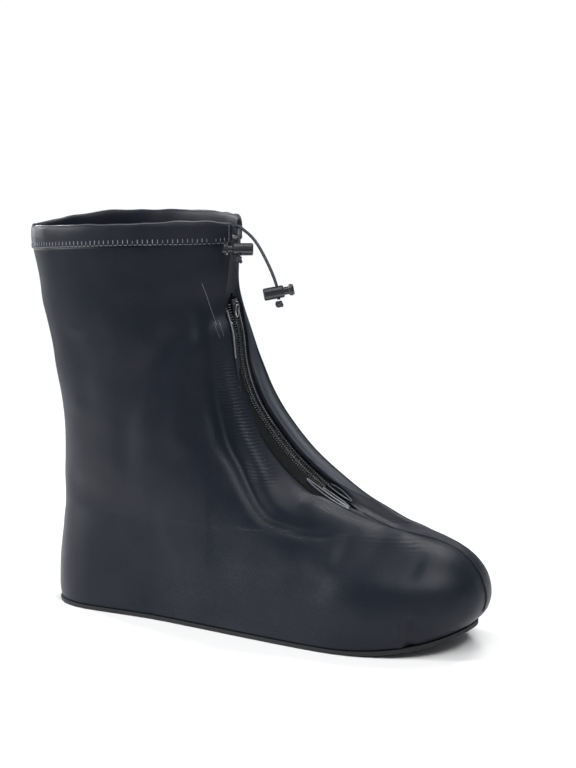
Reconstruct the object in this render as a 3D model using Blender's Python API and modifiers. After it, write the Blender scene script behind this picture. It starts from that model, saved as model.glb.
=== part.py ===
"""Waterproof shoe cover: an ankle-high overshoe of coated cloth with a front zip, a flat welded sole and a
drawcord collar with two barrel locks. The toe points to +X, the sole stands on Z = 0, metres."""

import math

import bmesh
import bpy
from mathutils import Matrix, Vector

# Driving sizes of the cover
FOOT_LENGTH = 0.305
BALL_WIDTH = 0.104
TOE_HEIGHT = 0.0700
SHAFT_HEIGHT = 0.2410
COLLAR_WIDTH = 0.112
TOE_SPRING = 0.0120
SPRING_FROM = 0.70
WALL = 0.0012
FIT = 0.0003

# Sole
SOLE_THICKNESS = 0.0028
SOLE_EDGE = 0.0008
TREAD_DEPTH = 0.0008
TREAD_GROOVE = 0.0030
TREAD_PITCH = 0.0095
TREAD_MARGIN = 0.0080
TREAD_REACH = 0.80
SOLE_STEPS = 34
SOLE_END = 0.02

# Front opening and its zip
LIP_HEIGHT = 0.0110
LIP_SPREAD = 0.0120
SLOT_WIDTH = 0.0070
TAPE_WIDTH = 0.0150
TAPE_THICKNESS = 0.0007
CHAIN_WIDTH = 0.0056
CHAIN_THICKNESS = 0.0019
CHAIN_SIDE = 0.25
FACING_REACH = 0.80
FACING_THICKNESS = 0.0008
END_TAB_THICKNESS = 0.0008
SLIDER_WIDTH = 0.0068
SLIDER_LENGTH = 0.0090
SLIDER_THICKNESS = 0.0013
BRIDGE_WIRE = 0.0010
BRIDGE_RISE = 0.0024
BRIDGE_REACH = 0.32
RING_LENGTH = 0.0090
RING_WIDTH = 0.0046
RING_WIRE = 0.0008
RING_PLACE = 0.10
SEAM_WIDTH = 0.0030
SEAM_THICKNESS = 0.0007

# Collar casing and its cord
CASING_THICKNESS = 0.0034
# Share of the casing's half thickness that its corners are cut by, and the collar's middle along the foot
CASING_CORNER = 0.55
COLLAR_MIDDLE = 0.18
COLLAR_BOW = 0.0030
CORD_DIAMETER = 0.0020
CORD_HOLE = 0.0030
CORD_HOLE_DEPTH = 0.0040

# Height of the casing round the collar: share of the way from the near end by the back to the far end, height
CASING = (
    (0.00, 0.0110),
    (0.06, 0.0143),
    (0.20, 0.0112),
    (0.35, 0.0102),
    (0.50, 0.0118),
    (0.62, 0.0142),
    (0.75, 0.0128),
    (1.00, 0.0120),
)

# Cord locks
BARREL_DIAMETER = 0.0080
BARREL_BORE = 0.0056
BARREL_CLOSED_END = 0.0090
BARREL_OPEN_END = 0.0040
BARREL_FLOOR = 0.0014
STEM_CLEARANCE = 0.00025
PLUNGER_TRAVEL = 0.0027
HEAD_DIAMETER = 0.0074
HEAD_LENGTH = 0.0033
KNOT_DIAMETER = 0.0050
KNOT_SHAPE = (1.1, 0.9, 0.9)
LOCK_SIDES = 16
BARREL_EDGE = 0.0007
STEM_FOOT = 0.0011
# The plunger's head, from its middle out: shares of its radius and of its length
HEAD_PROFILE = ((0.0, 1.0), (0.82, 1.0), (1.0, 0.7), (1.0, 0.25), (0.86, 0.0))

# One row for each section, from the floor up. back_x and front_x are shares of the foot's length from the
# heel; back_z and front_z run 0 to 1 from floor to toe height and 1 to 2 from there to the shaft's top;
# spring is the share of the sole's toe spring that the section follows; the lips are shares of the lip's
# height that each side of the front stands above the middle line, and spread is their share of its spread.
SECTION_COLUMNS = ("back_x", "back_z", "front_x", "front_z", "spring", "near_lip", "far_lip", "spread")
SECTIONS = (
    (0.004, 0.044, 0.968, 0.215, 1.00, 0.00, 0.00, 0.25),
    (-0.001, 0.130, 0.990, 0.320, 0.80, 0.00, 0.00, 0.25),
    (-0.001, 0.300, 1.000, 0.455, 0.60, 0.00, 0.00, 0.27),
    (0.001, 0.460, 0.994, 0.600, 0.40, 0.00, 0.00, 0.32),
    (0.005, 0.600, 0.978, 0.735, 0.25, 0.00, 0.00, 0.40),
    (0.009, 0.720, 0.945, 0.860, 0.12, 0.00, 0.00, 0.55),
    (0.011, 0.830, 0.894, 0.945, 0.05, 0.02, 0.06, 0.75),
    (0.013, 0.940, 0.826, 0.985, 0.00, 0.02, 0.22, 0.90),
    (0.014, 1.035, 0.752, 1.027, 0.00, -0.08, 0.55, 0.98),
    (0.014, 1.110, 0.664, 1.097, 0.00, -0.38, 0.85, 1.00),
    (0.0165, 1.185, 0.574, 1.206, 0.00, -0.46, 0.98, 1.00),
    (0.018, 1.280, 0.508, 1.330, 0.00, -0.34, 1.00, 1.00),
    (0.0155, 1.390, 0.466, 1.440, 0.00, -0.10, 1.00, 1.00),
    (0.0065, 1.510, 0.442, 1.560, 0.00, 0.05, 0.82, 1.00),
    (-0.004, 1.640, 0.433, 1.680, 0.00, 0.02, 0.40, 0.95),
    (-0.021, 1.770, 0.420, 1.790, 0.00, -0.06, 0.22, 0.82),
    (-0.028, 1.880, 0.420, 1.885, 0.00, 0.06, -0.03, 0.70),
    (-0.041, 1.985, 0.428, 2.035, 0.00, 0.12, -0.12, 0.67),
)
RINGS_PER_SECTION = 2

# Sections between which the front is open for the zip, counted from the first row
SLOT_START = 8.5
SLOT_END = 15.5
CHAIN_START = 9.3
CHAIN_END = 15.05
SLIDER_AT = 14.95
SEAM_START = 1.2
SEAM_END = 8.0
# In sections: the tape's reach past the slot, the facings' distance inside it and the end tab's gap
TAPE_PAST_SLOT = 0.4
FACING_INSIDE_SLOT = 0.5
END_TAB_GAP = 0.055

# Plan outline at its widest level: share of the foot's length and share of the ball's width
OUTLINE = (
    (0.00, 0.62),
    (0.12, 0.64),
    (0.27, 0.66),
    (0.41, 0.76),
    (0.55, 0.88),
    (0.70, 0.99),
    (0.80, 1.03),
    (1.00, 1.00),
)
HEEL_ROUND = 0.13
TOE_ROUND = 0.30
PLAN_POWER = 2.3

# Width of the leg: height, as in the sections, and share of the collar's width
LEG = (
    (0.00, 0.70),
    (0.90, 0.76),
    (1.25, 0.78),
    (1.55, 0.84),
    (1.80, 0.92),
    (2.00, 1.00),
)
LEG_WIDEST = 0.48
LEG_BACK_POWER = 2.25
LEG_FRONT_POWER = 1.75
ARCH_POWER = 2.25
LEG_BLEND = (0.60, 1.45)
WIDEST_LEVEL = 0.30

# How the slot tapers, how far the front stays flat beside it, and the steps that slopes are taken over
SLOT_TAPER = 0.55
SLOT_TAPER_START = 0.25
SLOT_NARROWEST = 0.35
FLAT_MOST = 0.6
MIDDLE_STEP = 0.05
SLOPE_STEP = 0.0006
# Where the foot's top line starts, as a share of its length
FOOT_TOP_START = 0.43

# Points on each side of a section, from the back seam to the lip
SIDE_POINTS = 20

# The front's folds: share of the way from slot to lip, and share of the lip's height there
NEAR_FOLD = ((0.0, 0.0), (0.5, 0.41), (1.0, 1.0))
FAR_FOLD = ((0.0, 0.0), (0.45, 0.13), (0.80, 0.56), (1.0, 1.0))

# Where the cords run, in the cover's own frame: the long cord's end hangs in an arc in front of the shaft
HEEL_X = -0.145
LONG_CORD = (
    (-0.0147, -0.0100, 0.2552),
    (-0.0136, -0.0077, 0.2556),
    (-0.0122, -0.0060, 0.2560),
    (-0.0101, -0.0054, 0.2561),
    (-0.0077, -0.0057, 0.2554),
    (-0.0050, -0.0067, 0.2540),
    (-0.0010, -0.0082, 0.2520),
    (0.0034, -0.0098, 0.2491),
    (0.0078, -0.0110, 0.2446),
    (0.0118, -0.0120, 0.2393),
    (0.0155, -0.0127, 0.2335),
    (0.0190, -0.0133, 0.2272),
    (0.0218, -0.0138, 0.2208),
    (0.0228, -0.0140, 0.2166),
    (0.0237, -0.0142, 0.2120),
)
LONG_LOCK_AT = 13
LONG_LOCK_AXIS = (0.875, 0.446, 0.19)
SHORT_CORD = (
    (-0.0183, 0.0120, 0.2520),
    (-0.0172, 0.0098, 0.2523),
    (-0.0158, 0.0070, 0.2525),
    (-0.0140, 0.0035, 0.2523),
    (-0.0120, -0.0002, 0.2518),
    (-0.0098, -0.0042, 0.2511),
    (-0.0080, -0.0076, 0.2503),
    (-0.0066, -0.0102, 0.2486),
    (-0.00535, -0.01264, 0.24622),
    (-0.0042, -0.0149, 0.2425),
    (-0.00297, -0.01731, 0.23854),
)
SHORT_LOCK_AT = 9
SHORT_LOCK_AXIS = (-0.891, -0.454, 0.0)

COLOURS = {
    "coated_cloth": ((0.022, 0.025, 0.033), 0.42, 0.0),
    "sole_sheet": ((0.012, 0.013, 0.017), 0.55, 0.0),
    "gloss_facing": ((0.016, 0.018, 0.024), 0.18, 0.0),
    "zip_tape": ((0.014, 0.015, 0.019), 0.75, 0.0),
    "zip_coil": ((0.020, 0.021, 0.025), 0.35, 0.0),
    "zip_metal": ((0.30, 0.31, 0.33), 0.28, 1.0),
    "drawcord": ((0.020, 0.022, 0.027), 0.60, 0.0),
    "lock_plastic": ((0.020, 0.022, 0.028), 0.30, 0.0),
}


def hermite(start, end, slope_start, slope_end, t):
    """A cubic from start to end as t runs 0 to 1, with a slope at each end."""
    falling = 2 * t**3 - 3 * t**2 + 1
    ends = falling * start + (1 - falling) * end
    return ends + (t**3 - 2 * t**2 + t) * slope_start + (t**3 - t**2) * slope_end


def catmull(values, at):
    """A smooth curve through evenly spaced values, read at a row number that may be a fraction."""
    last = len(values) - 1
    at = min(max(at, 0.0), float(last))
    i = min(int(at), last - 1)
    before = values[i - 1] if i > 0 else 2 * values[i] - values[i + 1]
    after = values[i + 2] if i + 2 <= last else 2 * values[i + 1] - values[i]
    return hermite(values[i], values[i + 1], (values[i + 1] - before) / 2, (after - values[i]) / 2, at - i)


def between(table, x):
    """Reads a two-column table at x, with a smooth curve through its rows that has no bumps of its own."""
    last = len(table) - 1
    if x <= table[0][0]:
        return table[0][1]
    if x >= table[last][0]:
        return table[last][1]
    slopes = [(y1 - y0) / (x1 - x0) for (x0, y0), (x1, y1) in zip(table, table[1:])]

    def slope_at(k):
        before, after = slopes[max(k - 1, 0)], slopes[min(k, last - 1)]
        return 2 * before * after / (before + after) if before * after > 0 else 0.0

    i = next(k for k in range(last) if x <= table[k + 1][0])
    width = table[i + 1][0] - table[i][0]
    t = (x - table[i][0]) / width
    return hermite(table[i][1], table[i + 1][1], slope_at(i) * width, slope_at(i + 1) * width, t)


def linear(table, x):
    if x <= table[0][0]:
        return table[0][1]
    for (x0, y0), (x1, y1) in zip(table, table[1:]):
        if x <= x1:
            return y0 + (y1 - y0) * (x - x0) / max(x1 - x0, 1e-9)
    return table[-1][1]


def ease(t):
    t = min(max(t, 0.0), 1.0)
    return t * t * (3 - 2 * t)


def rounded(share, power):
    """1 at share 0, falling to 0 at share 1 as a superellipse does."""
    share = min(max(share, 0.0), 1.0)
    return (1 - share**power) ** (1 / power)


def height(level):
    """Levels 0 to 1 run from floor to toe height, and 1 to 2 from there to the shaft's top."""
    return TOE_HEIGHT * min(level, 1.0) + (SHAFT_HEIGHT - TOE_HEIGHT) * max(level - 1.0, 0.0)


def level_of(z):
    return z / TOE_HEIGHT if z < TOE_HEIGHT else 1.0 + (z - TOE_HEIGHT) / (SHAFT_HEIGHT - TOE_HEIGHT)


def along(share):
    return HEEL_X + FOOT_LENGTH * share


COLUMN = {name: [row[i] for row in SECTIONS] for i, name in enumerate(SECTION_COLUMNS)}
LAST_SECTION = len(SECTIONS) - 1


def section(row):
    return {name: catmull(COLUMN[name], row) for name in SECTION_COLUMNS}


def middle(row):
    """The front's middle line at a section, and its outward direction there, both in the plane Y = 0."""
    here = section(row)
    below = section(max(row - MIDDLE_STEP, 0.0))
    above = section(min(row + MIDDLE_STEP, LAST_SECTION))
    point, low, high = (Vector((along(at["front_x"]), 0, height(at["front_z"]))) for at in (here, below, above))
    tangent = (high - low).normalized()
    return point, Vector((tangent.z, 0, -tangent.x)), tangent


def slot_half(row):
    """Half the slot's width: the front is open from the first to the last slot row, with pointed ends."""
    low_end = ease((row - SLOT_START) / SLOT_TAPER + SLOT_TAPER_START)
    high_end = ease((SLOT_END - row) / SLOT_TAPER + SLOT_TAPER_START)
    return SLOT_WIDTH / 2 * max(SLOT_NARROWEST, min(low_end, high_end))


def front_rise(row, y):
    """How far the front's face stands above its middle line at a distance y to one side."""
    here = section(row)
    start, end = front_reach(row)
    share = min(max((abs(y) - start) / (end - start), 0.0), 1.0)
    if y < 0:
        return LIP_HEIGHT * here["near_lip"] * linear(NEAR_FOLD, share)
    return LIP_HEIGHT * here["far_lip"] * linear(FAR_FOLD, share)


def front_reach(row):
    """Where the front's flat middle ends and where its lips stand, as distances from the middle line."""
    spread = LIP_SPREAD * section(row)["spread"]
    return min(slot_half(row), FLAT_MOST * spread), spread


def front_place(row, side, share):
    """The distance y of a share of the way from the slot's edge to the lip."""
    start, end = front_reach(row)
    return side * (start + (end - start) * share)


def front_point(row, y, lift=0.0):
    """A point on the front's outer face at a distance y from its middle line, raised square to the face."""
    point, outward, _ = middle(row)
    slope = (front_rise(row, y + SLOPE_STEP) - front_rise(row, y - SLOPE_STEP)) / (2 * SLOPE_STEP)
    square = math.hypot(slope, 1)
    point = point + outward * (front_rise(row, y) + lift / square)
    return Vector((point.x, y - slope * lift / square, point.z))


def lip_point(row, side):
    return front_point(row, front_place(row, side, 1.0))


LINE_ROWS = [i / 4 for i in range(4 * LAST_SECTION + 1)]


def front_lines(side):
    """The lip's line on one side, as height over x and as x over height."""
    points = [lip_point(row, side) for row in LINE_ROWS]
    on_top = [p for row, p in zip(LINE_ROWS, points) if row >= 2 and p.x > along(FOOT_TOP_START)]
    over_x = sorted((p.x, p.z) for p in on_top)
    over_z = sorted((p.z, p.x) for p in points)
    return over_x, over_z


LINES = {side: front_lines(side) for side in (-1, 1)}
BACK_OVER_Z = sorted((height(at["back_z"]), along(at["back_x"])) for at in map(section, LINE_ROWS))


def plan_half(share):
    """Half the foot's width in plan, at a share of its length."""
    heel = rounded((HEEL_ROUND - share) / HEEL_ROUND, PLAN_POWER)
    toe = rounded((share - 1 + TOE_ROUND) / TOE_ROUND, PLAN_POWER)
    return BALL_WIDTH / 2 * between(OUTLINE, share) * heel * toe


def spring_curve(share):
    return (max(share - SPRING_FROM, 0.0) / (1 - SPRING_FROM)) ** 3


def half_width(x, z, share, side, low):
    """Half the cover's width at a point of its side view. Low sections take the sole's outline, the foot is
    an arch under its top line, and the leg is an oval, with one passing into the other over the ankle."""
    over_x, over_z = LINES[side]
    back = linear(BACK_OVER_Z, z)
    if low:
        foot = plan_half(share)
    else:
        foot = plan_half((x - back) / (along(1.0) - back))
        widest = height(WIDEST_LEVEL) + TOE_SPRING * spring_curve((x - HEEL_X) / FOOT_LENGTH)
        if x > over_x[0][0]:
            top = linear(over_x, x)
            foot *= rounded((z - widest) / max(top - widest, 1e-4), ARCH_POWER)
    front = linear(over_z, z)
    u = (x - back) / max(front - back, 1e-4)
    if u > LEG_WIDEST:
        oval = rounded((u - LEG_WIDEST) / (1 - LEG_WIDEST), LEG_FRONT_POWER)
    else:
        oval = rounded((LEG_WIDEST - u) / LEG_WIDEST, LEG_BACK_POWER)
    leg = COLLAR_WIDTH / 2 * between(LEG, level_of(z)) * oval
    t = ease((level_of(z) - LEG_BLEND[0]) / (LEG_BLEND[1] - LEG_BLEND[0]))
    return foot + (leg - foot) * t


def side_points(row, side):
    """One side of a section, from the back seam to the lip."""
    here = section(row)
    start = Vector((along(here["back_x"]), 0, height(here["back_z"])))
    end = lip_point(row, side)
    low = row <= 2
    spread = abs(end.y)
    bow = COLLAR_BOW * max(row - LAST_SECTION + 1, 0.0)
    points = []
    for i in range(SIDE_POINTS + 1):
        share = (1 - math.cos(math.pi * i / SIDE_POINTS)) / 2
        rise = here["spring"] * spring_curve(share) + (1 - here["spring"]) * share
        x = start.x + (end.x - start.x) * share
        z = start.z + (end.z - start.z) * rise + 4 * bow * share * (1 - share)
        half = half_width(x, z, share, side, low)
        half = math.hypot(half, spread * ease(share))
        points.append(Vector((x, side * half, z)))
    points[0].y = 0.0
    points[-1] = end
    return points


def ring(row):
    """A whole section: back seam, near side, front between the lips, far side."""
    near = side_points(row, -1)
    far = side_points(row, 1)
    across = [front_place(row, -1, share) for share, _ in NEAR_FOLD[-2::-1]]
    across += [front_place(row, 1, share) for share, _ in FAR_FOLD[:-1]]
    front = [front_point(row, y) for y in across]
    return near + front + far[:0:-1]


NEAR_EDGE = SIDE_POINTS + len(NEAR_FOLD) - 1


def centre_x():
    """The middle of the cover's length, which is the frame's origin."""
    collar_back = along(COLUMN["back_x"][-1]) - (CASING_THICKNESS - WALL) / 2
    return (collar_back + along(1.0)) / 2


def clear_scene():
    for obj in list(bpy.data.objects):
        bpy.data.objects.remove(obj, do_unlink=True)
    for group in list(bpy.data.collections):
        bpy.data.collections.remove(group)


def material(name):
    if name in bpy.data.materials:
        return bpy.data.materials[name]
    colour, roughness, metallic = COLOURS[name]
    made = bpy.data.materials.new(name)
    made.use_nodes = True
    shader = made.node_tree.nodes["Principled BSDF"]
    shader.inputs["Base Color"].default_value = (*colour, 1)
    shader.inputs["Roughness"].default_value = roughness
    shader.inputs["Metallic"].default_value = metallic
    return made


def collection(name):
    group = bpy.data.collections.new(name)
    bpy.context.scene.collection.children.link(group)
    return group


def finish(name, bm, finish_name, group, smooth=True, shift=True):
    """Makes an object of a bmesh that was drawn in the cover's own frame."""
    if shift:
        bmesh.ops.translate(bm, verts=bm.verts, vec=(-centre_x(), 0, 0))
    mesh = bpy.data.meshes.new(name)
    bm.to_mesh(mesh)
    bm.free()
    obj = bpy.data.objects.new(name, mesh)
    group.objects.link(obj)
    mesh.materials.append(material(finish_name))
    if smooth:
        mesh.shade_smooth()
        mesh.set_sharp_from_angle(angle=math.radians(40))
    return obj


def loft(rows, closed=True, caps=True, skip=None):
    """A skin through rows of points. skip(row, column) leaves a face out."""
    bm = bmesh.new()
    grid = [[bm.verts.new(p) for p in row] for row in rows]
    count = len(rows[0])
    columns = count if closed else count - 1
    for i, (low, high) in enumerate(zip(grid, grid[1:])):
        for j in range(columns):
            if skip and skip(i, j):
                continue
            k = (j + 1) % count
            bm.faces.new((low[j], low[k], high[k], high[j]))
    if caps:
        bm.faces.new(grid[0][::-1])
        bm.faces.new(grid[-1])
        bmesh.ops.recalc_face_normals(bm, faces=bm.faces)
    return bm


def cut(obj, cutter, name):
    made = obj.modifiers.new(name, "BOOLEAN")
    made.operation = "DIFFERENCE"
    made.object = cutter
    made.solver = "EXACT"
    return made


def make_cutter(obj):
    obj.hide_render = True
    obj.display_type = "WIRE"
    return obj


def upper(group):
    """The shell: rings of the foot and leg, open at the collar, below, and along the zip."""
    count = LAST_SECTION * RINGS_PER_SECTION
    rows = [i / RINGS_PER_SECTION for i in range(count + 1)]

    def in_slot(i, j):
        return j == NEAR_EDGE and rows[i] >= SLOT_START - 0.01 and rows[i + 1] <= SLOT_END + 0.01

    bm = loft([ring(row) for row in rows], caps=False, skip=in_slot)
    obj = finish("upper", bm, "coated_cloth", group)
    wall = obj.modifiers.new("wall", "SOLIDIFY")
    wall.thickness = WALL
    wall.offset = -1
    return obj


def sole(group, cutters):
    """The flat sheet under the upper, with its toe spring and grooves across the tread."""
    low = section(0)
    back = along(low["back_x"]) - SOLE_EDGE
    front = along(low["front_x"]) + SOLE_EDGE
    rows = []
    for i in range(SOLE_STEPS + 1):
        turn = SOLE_END + (1 - 2 * SOLE_END) * i / SOLE_STEPS
        share = (1 - math.cos(math.pi * turn)) / 2
        x = back + (front - back) * share
        half = plan_half(share) + SOLE_EDGE
        if share > 0.5:
            half = math.hypot(half, LIP_SPREAD * low["spread"] * ease(share))
        bottom = TOE_SPRING * spring_curve(share)
        top = bottom + SOLE_THICKNESS
        near = ((-half + SOLE_EDGE, bottom), (-half, bottom + SOLE_EDGE), (-half, top))
        far = [(-y, z) for y, z in near[::-1]]
        rows.append([Vector((x, y, z)) for y, z in (*near, *far)])
    obj = finish("sole", loft(rows), "sole_sheet", group)
    bm = bmesh.new()
    x = back + 2 * TREAD_MARGIN
    while x < back + (front - back) * TREAD_REACH:
        share = (x - back) / (front - back)
        half = plan_half(share) - TREAD_MARGIN
        made = bmesh.ops.create_cube(bm, size=1)["verts"]
        bmesh.ops.scale(bm, vec=(TREAD_GROOVE, 2 * half, 2 * TREAD_DEPTH), verts=made)
        bmesh.ops.translate(bm, vec=(x, 0, 0), verts=made)
        x += TREAD_PITCH
    cutter = make_cutter(finish("tread_grooves", bm, "sole_sheet", cutters, smooth=False))
    cut(obj, cutter, "tread")
    return obj


def rows_between(start, end):
    """The shell's own rings between two sections, with the two ends."""
    first = math.floor(start * RINGS_PER_SECTION) + 1
    last = math.ceil(end * RINGS_PER_SECTION)
    return [start] + [i / RINGS_PER_SECTION for i in range(first, last)] + [end]


def strip(name, start, end, y_of, lift, thickness, finish_name, group):
    """A thin strip on the front: y_of(row) gives its places across, lift its underside."""
    rows = []
    for row in rows_between(start, end):
        places = y_of(row)
        under = [front_point(row, y, lift) for y in places]
        over = [front_point(row, y, lift + thickness) for y in places]
        rows.append(under + over[::-1])
    return finish(name, loft(rows), finish_name, group)


def zip_pieces(group):
    tape_lift = -(WALL + FIT + TAPE_THICKNESS)

    def across_tape(row):
        half = min(TAPE_WIDTH / 2, front_place(row, 1, FAR_FOLD[1][0]))
        edge = front_place(row, 1, 0.0)
        return (-half, -edge, edge, half)

    tape_rows = (SLOT_START - TAPE_PAST_SLOT, SLOT_END + TAPE_PAST_SLOT)
    strip("zip_tape", *tape_rows, across_tape, tape_lift, TAPE_THICKNESS, "zip_tape", group)

    half_chain = CHAIN_WIDTH / 2
    rows = []
    chain_bottom = tape_lift + TAPE_THICKNESS + FIT
    for row in rows_between(CHAIN_START, CHAIN_END):
        points = []
        for turn in range(7):
            angle = math.pi * turn / 6
            y = half_chain * math.cos(angle)
            crown = CHAIN_SIDE + (1 - CHAIN_SIDE) * math.sin(angle)
            points.append(front_point(row, y, chain_bottom + CHAIN_THICKNESS * crown))
        points.append(front_point(row, -half_chain, chain_bottom))
        points.append(front_point(row, half_chain, chain_bottom))
        rows.append(points)
    finish("zip_chain", loft(rows), "zip_coil", group)

    def across_tab(row):
        half = slot_half(row) - 2 * FIT
        return (-half, 0, half)

    tab_rows = (SLOT_START + END_TAB_GAP, CHAIN_START - END_TAB_GAP)
    strip("zip_end_tab", *tab_rows, across_tab, chain_bottom, END_TAB_THICKNESS, "zip_tape", group)


def facings(group):
    """The glossy folded facings beside the zip, on the front's face between slot and lip."""

    def near(row):
        places = [front_place(row, -1, share) for share in (FACING_REACH, NEAR_FOLD[1][0])]
        return places + [front_place(row, -1, 0) - 2 * FIT]

    def far(row):
        return [front_place(row, 1, 0) + 2 * FIT] + [front_place(row, 1, share) for share, _ in FAR_FOLD[1:3]]

    start, end = SLOT_START + FACING_INSIDE_SLOT, SLOT_END - FACING_INSIDE_SLOT
    strip("facing_near", start, end, near, FIT, FACING_THICKNESS, "gloss_facing", group)
    strip("facing_far", start, end, far, FIT, FACING_THICKNESS, "gloss_facing", group)


def toe_seam(group):
    half = SEAM_WIDTH / 2
    places = (-half, 0, half)
    strip("toe_seam", SEAM_START, SEAM_END, lambda row: places, FIT, SEAM_THICKNESS, "coated_cloth", group)


def tube(name, points, diameter, finish_name, group, cyclic=False, shift=True):
    """A round wire or cord through points, with closed ends."""
    curve = bpy.data.curves.new(name, "CURVE")
    curve.dimensions = "3D"
    curve.bevel_depth = diameter / 2
    curve.bevel_resolution = 2
    curve.use_fill_caps = True
    spline = curve.splines.new("POLY")
    spline.points.add(len(points) - 1)
    offset = Vector((centre_x(), 0, 0)) if shift else Vector()
    for slot, point in zip(spline.points, points):
        slot.co = (*(Vector(point) - offset), 1)
    spline.use_cyclic_u = cyclic
    obj = bpy.data.objects.new(name, curve)
    group.objects.link(obj)
    curve.materials.append(material(finish_name))
    return obj


def as_mesh(obj):
    """The mesh of a curve object, with its caps welded, in the curve's place."""
    graph = bpy.context.evaluated_depsgraph_get()
    mesh = bpy.data.meshes.new_from_object(obj.evaluated_get(graph))
    bm = bmesh.new()
    bm.from_mesh(mesh)
    bmesh.ops.remove_doubles(bm, verts=bm.verts, dist=1e-6)
    bmesh.ops.recalc_face_normals(bm, faces=bm.faces)
    bm.to_mesh(mesh)
    bm.free()
    made = bpy.data.objects.new(obj.name + "_mesh", mesh)
    made.matrix_world = obj.matrix_world
    group = obj.users_collection[0]
    group.objects.link(made)
    name = obj.name
    bpy.data.objects.remove(obj, do_unlink=True)
    made.name = name
    mesh.shade_smooth()
    return made


def smooth_route(points, steps):
    """A smooth curve through hand-chosen points, steps to each."""
    columns = [[p[i] for p in points] for i in range(3)]
    count = (len(points) - 1) * steps
    return [Vector([catmull(c, i / steps) for c in columns]) for i in range(count + 1)]


def slider(group, cutters):
    """The zip's slider: a plate over the chain with a wire bridge that the pull ring hangs in."""
    chain_top = -(WALL + FIT) + FIT + CHAIN_THICKNESS
    point, outward, tangent = middle(SLIDER_AT)
    side = Vector((0, 1, 0))
    base = point + outward * (chain_top + FIT)
    frame = Matrix((tangent, side, outward)).transposed().to_4x4()
    frame.translation = base
    bm = bmesh.new()
    bmesh.ops.create_cube(bm, size=1)
    bmesh.ops.scale(bm, vec=(SLIDER_LENGTH, SLIDER_WIDTH, SLIDER_THICKNESS), verts=bm.verts)
    bmesh.ops.translate(bm, vec=(0, 0, SLIDER_THICKNESS / 2), verts=bm.verts)
    edge = SLIDER_THICKNESS / 4
    bmesh.ops.bevel(bm, geom=bm.edges, offset=edge, affect="EDGES", segments=1, profile=0.5, material=-1)
    bmesh.ops.transform(bm, matrix=frame, verts=bm.verts)
    plate = finish("zip_slider", bm, "zip_metal", group)
    half = SLIDER_LENGTH * BRIDGE_REACH
    arch = []
    for i in range(9):
        angle = math.pi * i / 8
        rise = (BRIDGE_RISE + SLIDER_THICKNESS / 2) * math.sin(angle)
        arch.append(frame @ Vector((-half * math.cos(angle), 0, SLIDER_THICKNESS / 2 + rise)))
    bridge = make_cutter(as_mesh(tube("slider_bridge", arch, BRIDGE_WIRE, "zip_metal", cutters)))
    joined = plate.modifiers.new("bridge", "BOOLEAN")
    joined.operation = "UNION"
    joined.object = bridge
    joined.solver = "EXACT"
    top = SLIDER_THICKNESS + BRIDGE_RISE - BRIDGE_WIRE / 2
    return frame, top


def pull_ring(group, frame, top):
    """The oval ring through the bridge, hanging straight down from its hinge axis."""
    pivot = frame @ Vector((SLIDER_LENGTH * RING_PLACE, 0, top - (RING_WIRE + 3 * FIT) / 2))
    holder = bpy.data.objects.new("ring_pivot", None)
    holder.location = pivot - Vector((centre_x(), 0, 0))
    group.objects.link(holder)
    a = (RING_WIDTH - RING_WIRE) / 2
    b = (RING_LENGTH - RING_WIRE) / 2
    points = [(0, a * math.cos(t), -b + b * math.sin(t)) for t in (2 * math.pi * i / 20 for i in range(20))]
    ring_tube = tube("zip_pull", points, RING_WIRE, "zip_metal", group, cyclic=True, shift=False)
    ring_tube.parent = holder
    return holder


def casing(group, cutters):
    """The folded collar that the cord runs in, from the front's near end round the back to its far end."""
    top = ring(LAST_SECTION)
    count = len(top)
    lift = FIT + WALL / 4
    outer = (CASING_THICKNESS - WALL) / 2
    near = SIDE_POINTS
    far_lip = SIDE_POINTS + len(NEAR_FOLD) + len(FAR_FOLD) - 1
    order = list(range(near, -1, -1)) + list(range(count - 1, far_lip, -1))
    path = [top[i] for i in order]
    lengths = [0.0]
    for a, b in zip(path, path[1:]):
        lengths.append(lengths[-1] + (b - a).length)
    rows = []
    for i, p in enumerate(path):
        before = path[max(i - 1, 0)]
        after = path[min(i + 1, len(path) - 1)]
        direction = (after - before).normalized()
        out = Vector((direction.y, -direction.x, 0)).normalized()
        if out.dot(Vector((p.x - along(COLLAR_MIDDLE), p.y, 0))) < 0:
            out = -out
        low = p.z + lift
        high = low + between(CASING, lengths[i] / lengths[-1])
        mid = p - out * WALL / 2
        half = outer + WALL / 2
        corner = half * CASING_CORNER
        shape = (
            (-half, low + corner / 2),
            (-half + corner / 2, low),
            (half - corner / 2, low),
            (half, low + corner / 2),
            (half, high - corner),
            (half - corner, high),
            (-half + corner, high),
            (-half, high - corner),
        )
        rows.append([Vector((mid.x + out.x * d, mid.y + out.y * d, z)) for d, z in shape])
    obj = finish("hem_casing", loft(rows), "coated_cloth", group)
    for name, points in (("long_hole", LONG_CORD), ("short_hole", SHORT_CORD)):
        start_at = Vector(points[0])
        toward = (Vector(points[1]) - start_at).normalized()
        ends = [start_at - toward * CORD_HOLE_DEPTH, start_at + toward * CORD_HOLE_DEPTH]
        hole = as_mesh(tube(name, ends, CORD_DIAMETER + 2 * FIT, "coated_cloth", cutters))
        cut(obj, make_cutter(hole), name)
    return obj


def turned(name, profile, steps, finish_name, group, parent):
    """A shape turned about its parent's Z axis. The profile runs down its outer side."""
    mesh = bpy.data.meshes.new(name)
    mesh.from_pydata([(r, 0, z) for r, z in profile], [(i, i + 1) for i in range(len(profile) - 1)], [])
    obj = bpy.data.objects.new(name, mesh)
    group.objects.link(obj)
    mesh.materials.append(material(finish_name))
    obj.parent = parent
    screw = obj.modifiers.new("turn", "SCREW")
    screw.steps = steps
    screw.render_steps = steps
    screw.use_merge_vertices = True
    screw.merge_threshold = 0.00005
    screw.use_normal_calculate = False
    return obj


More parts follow.
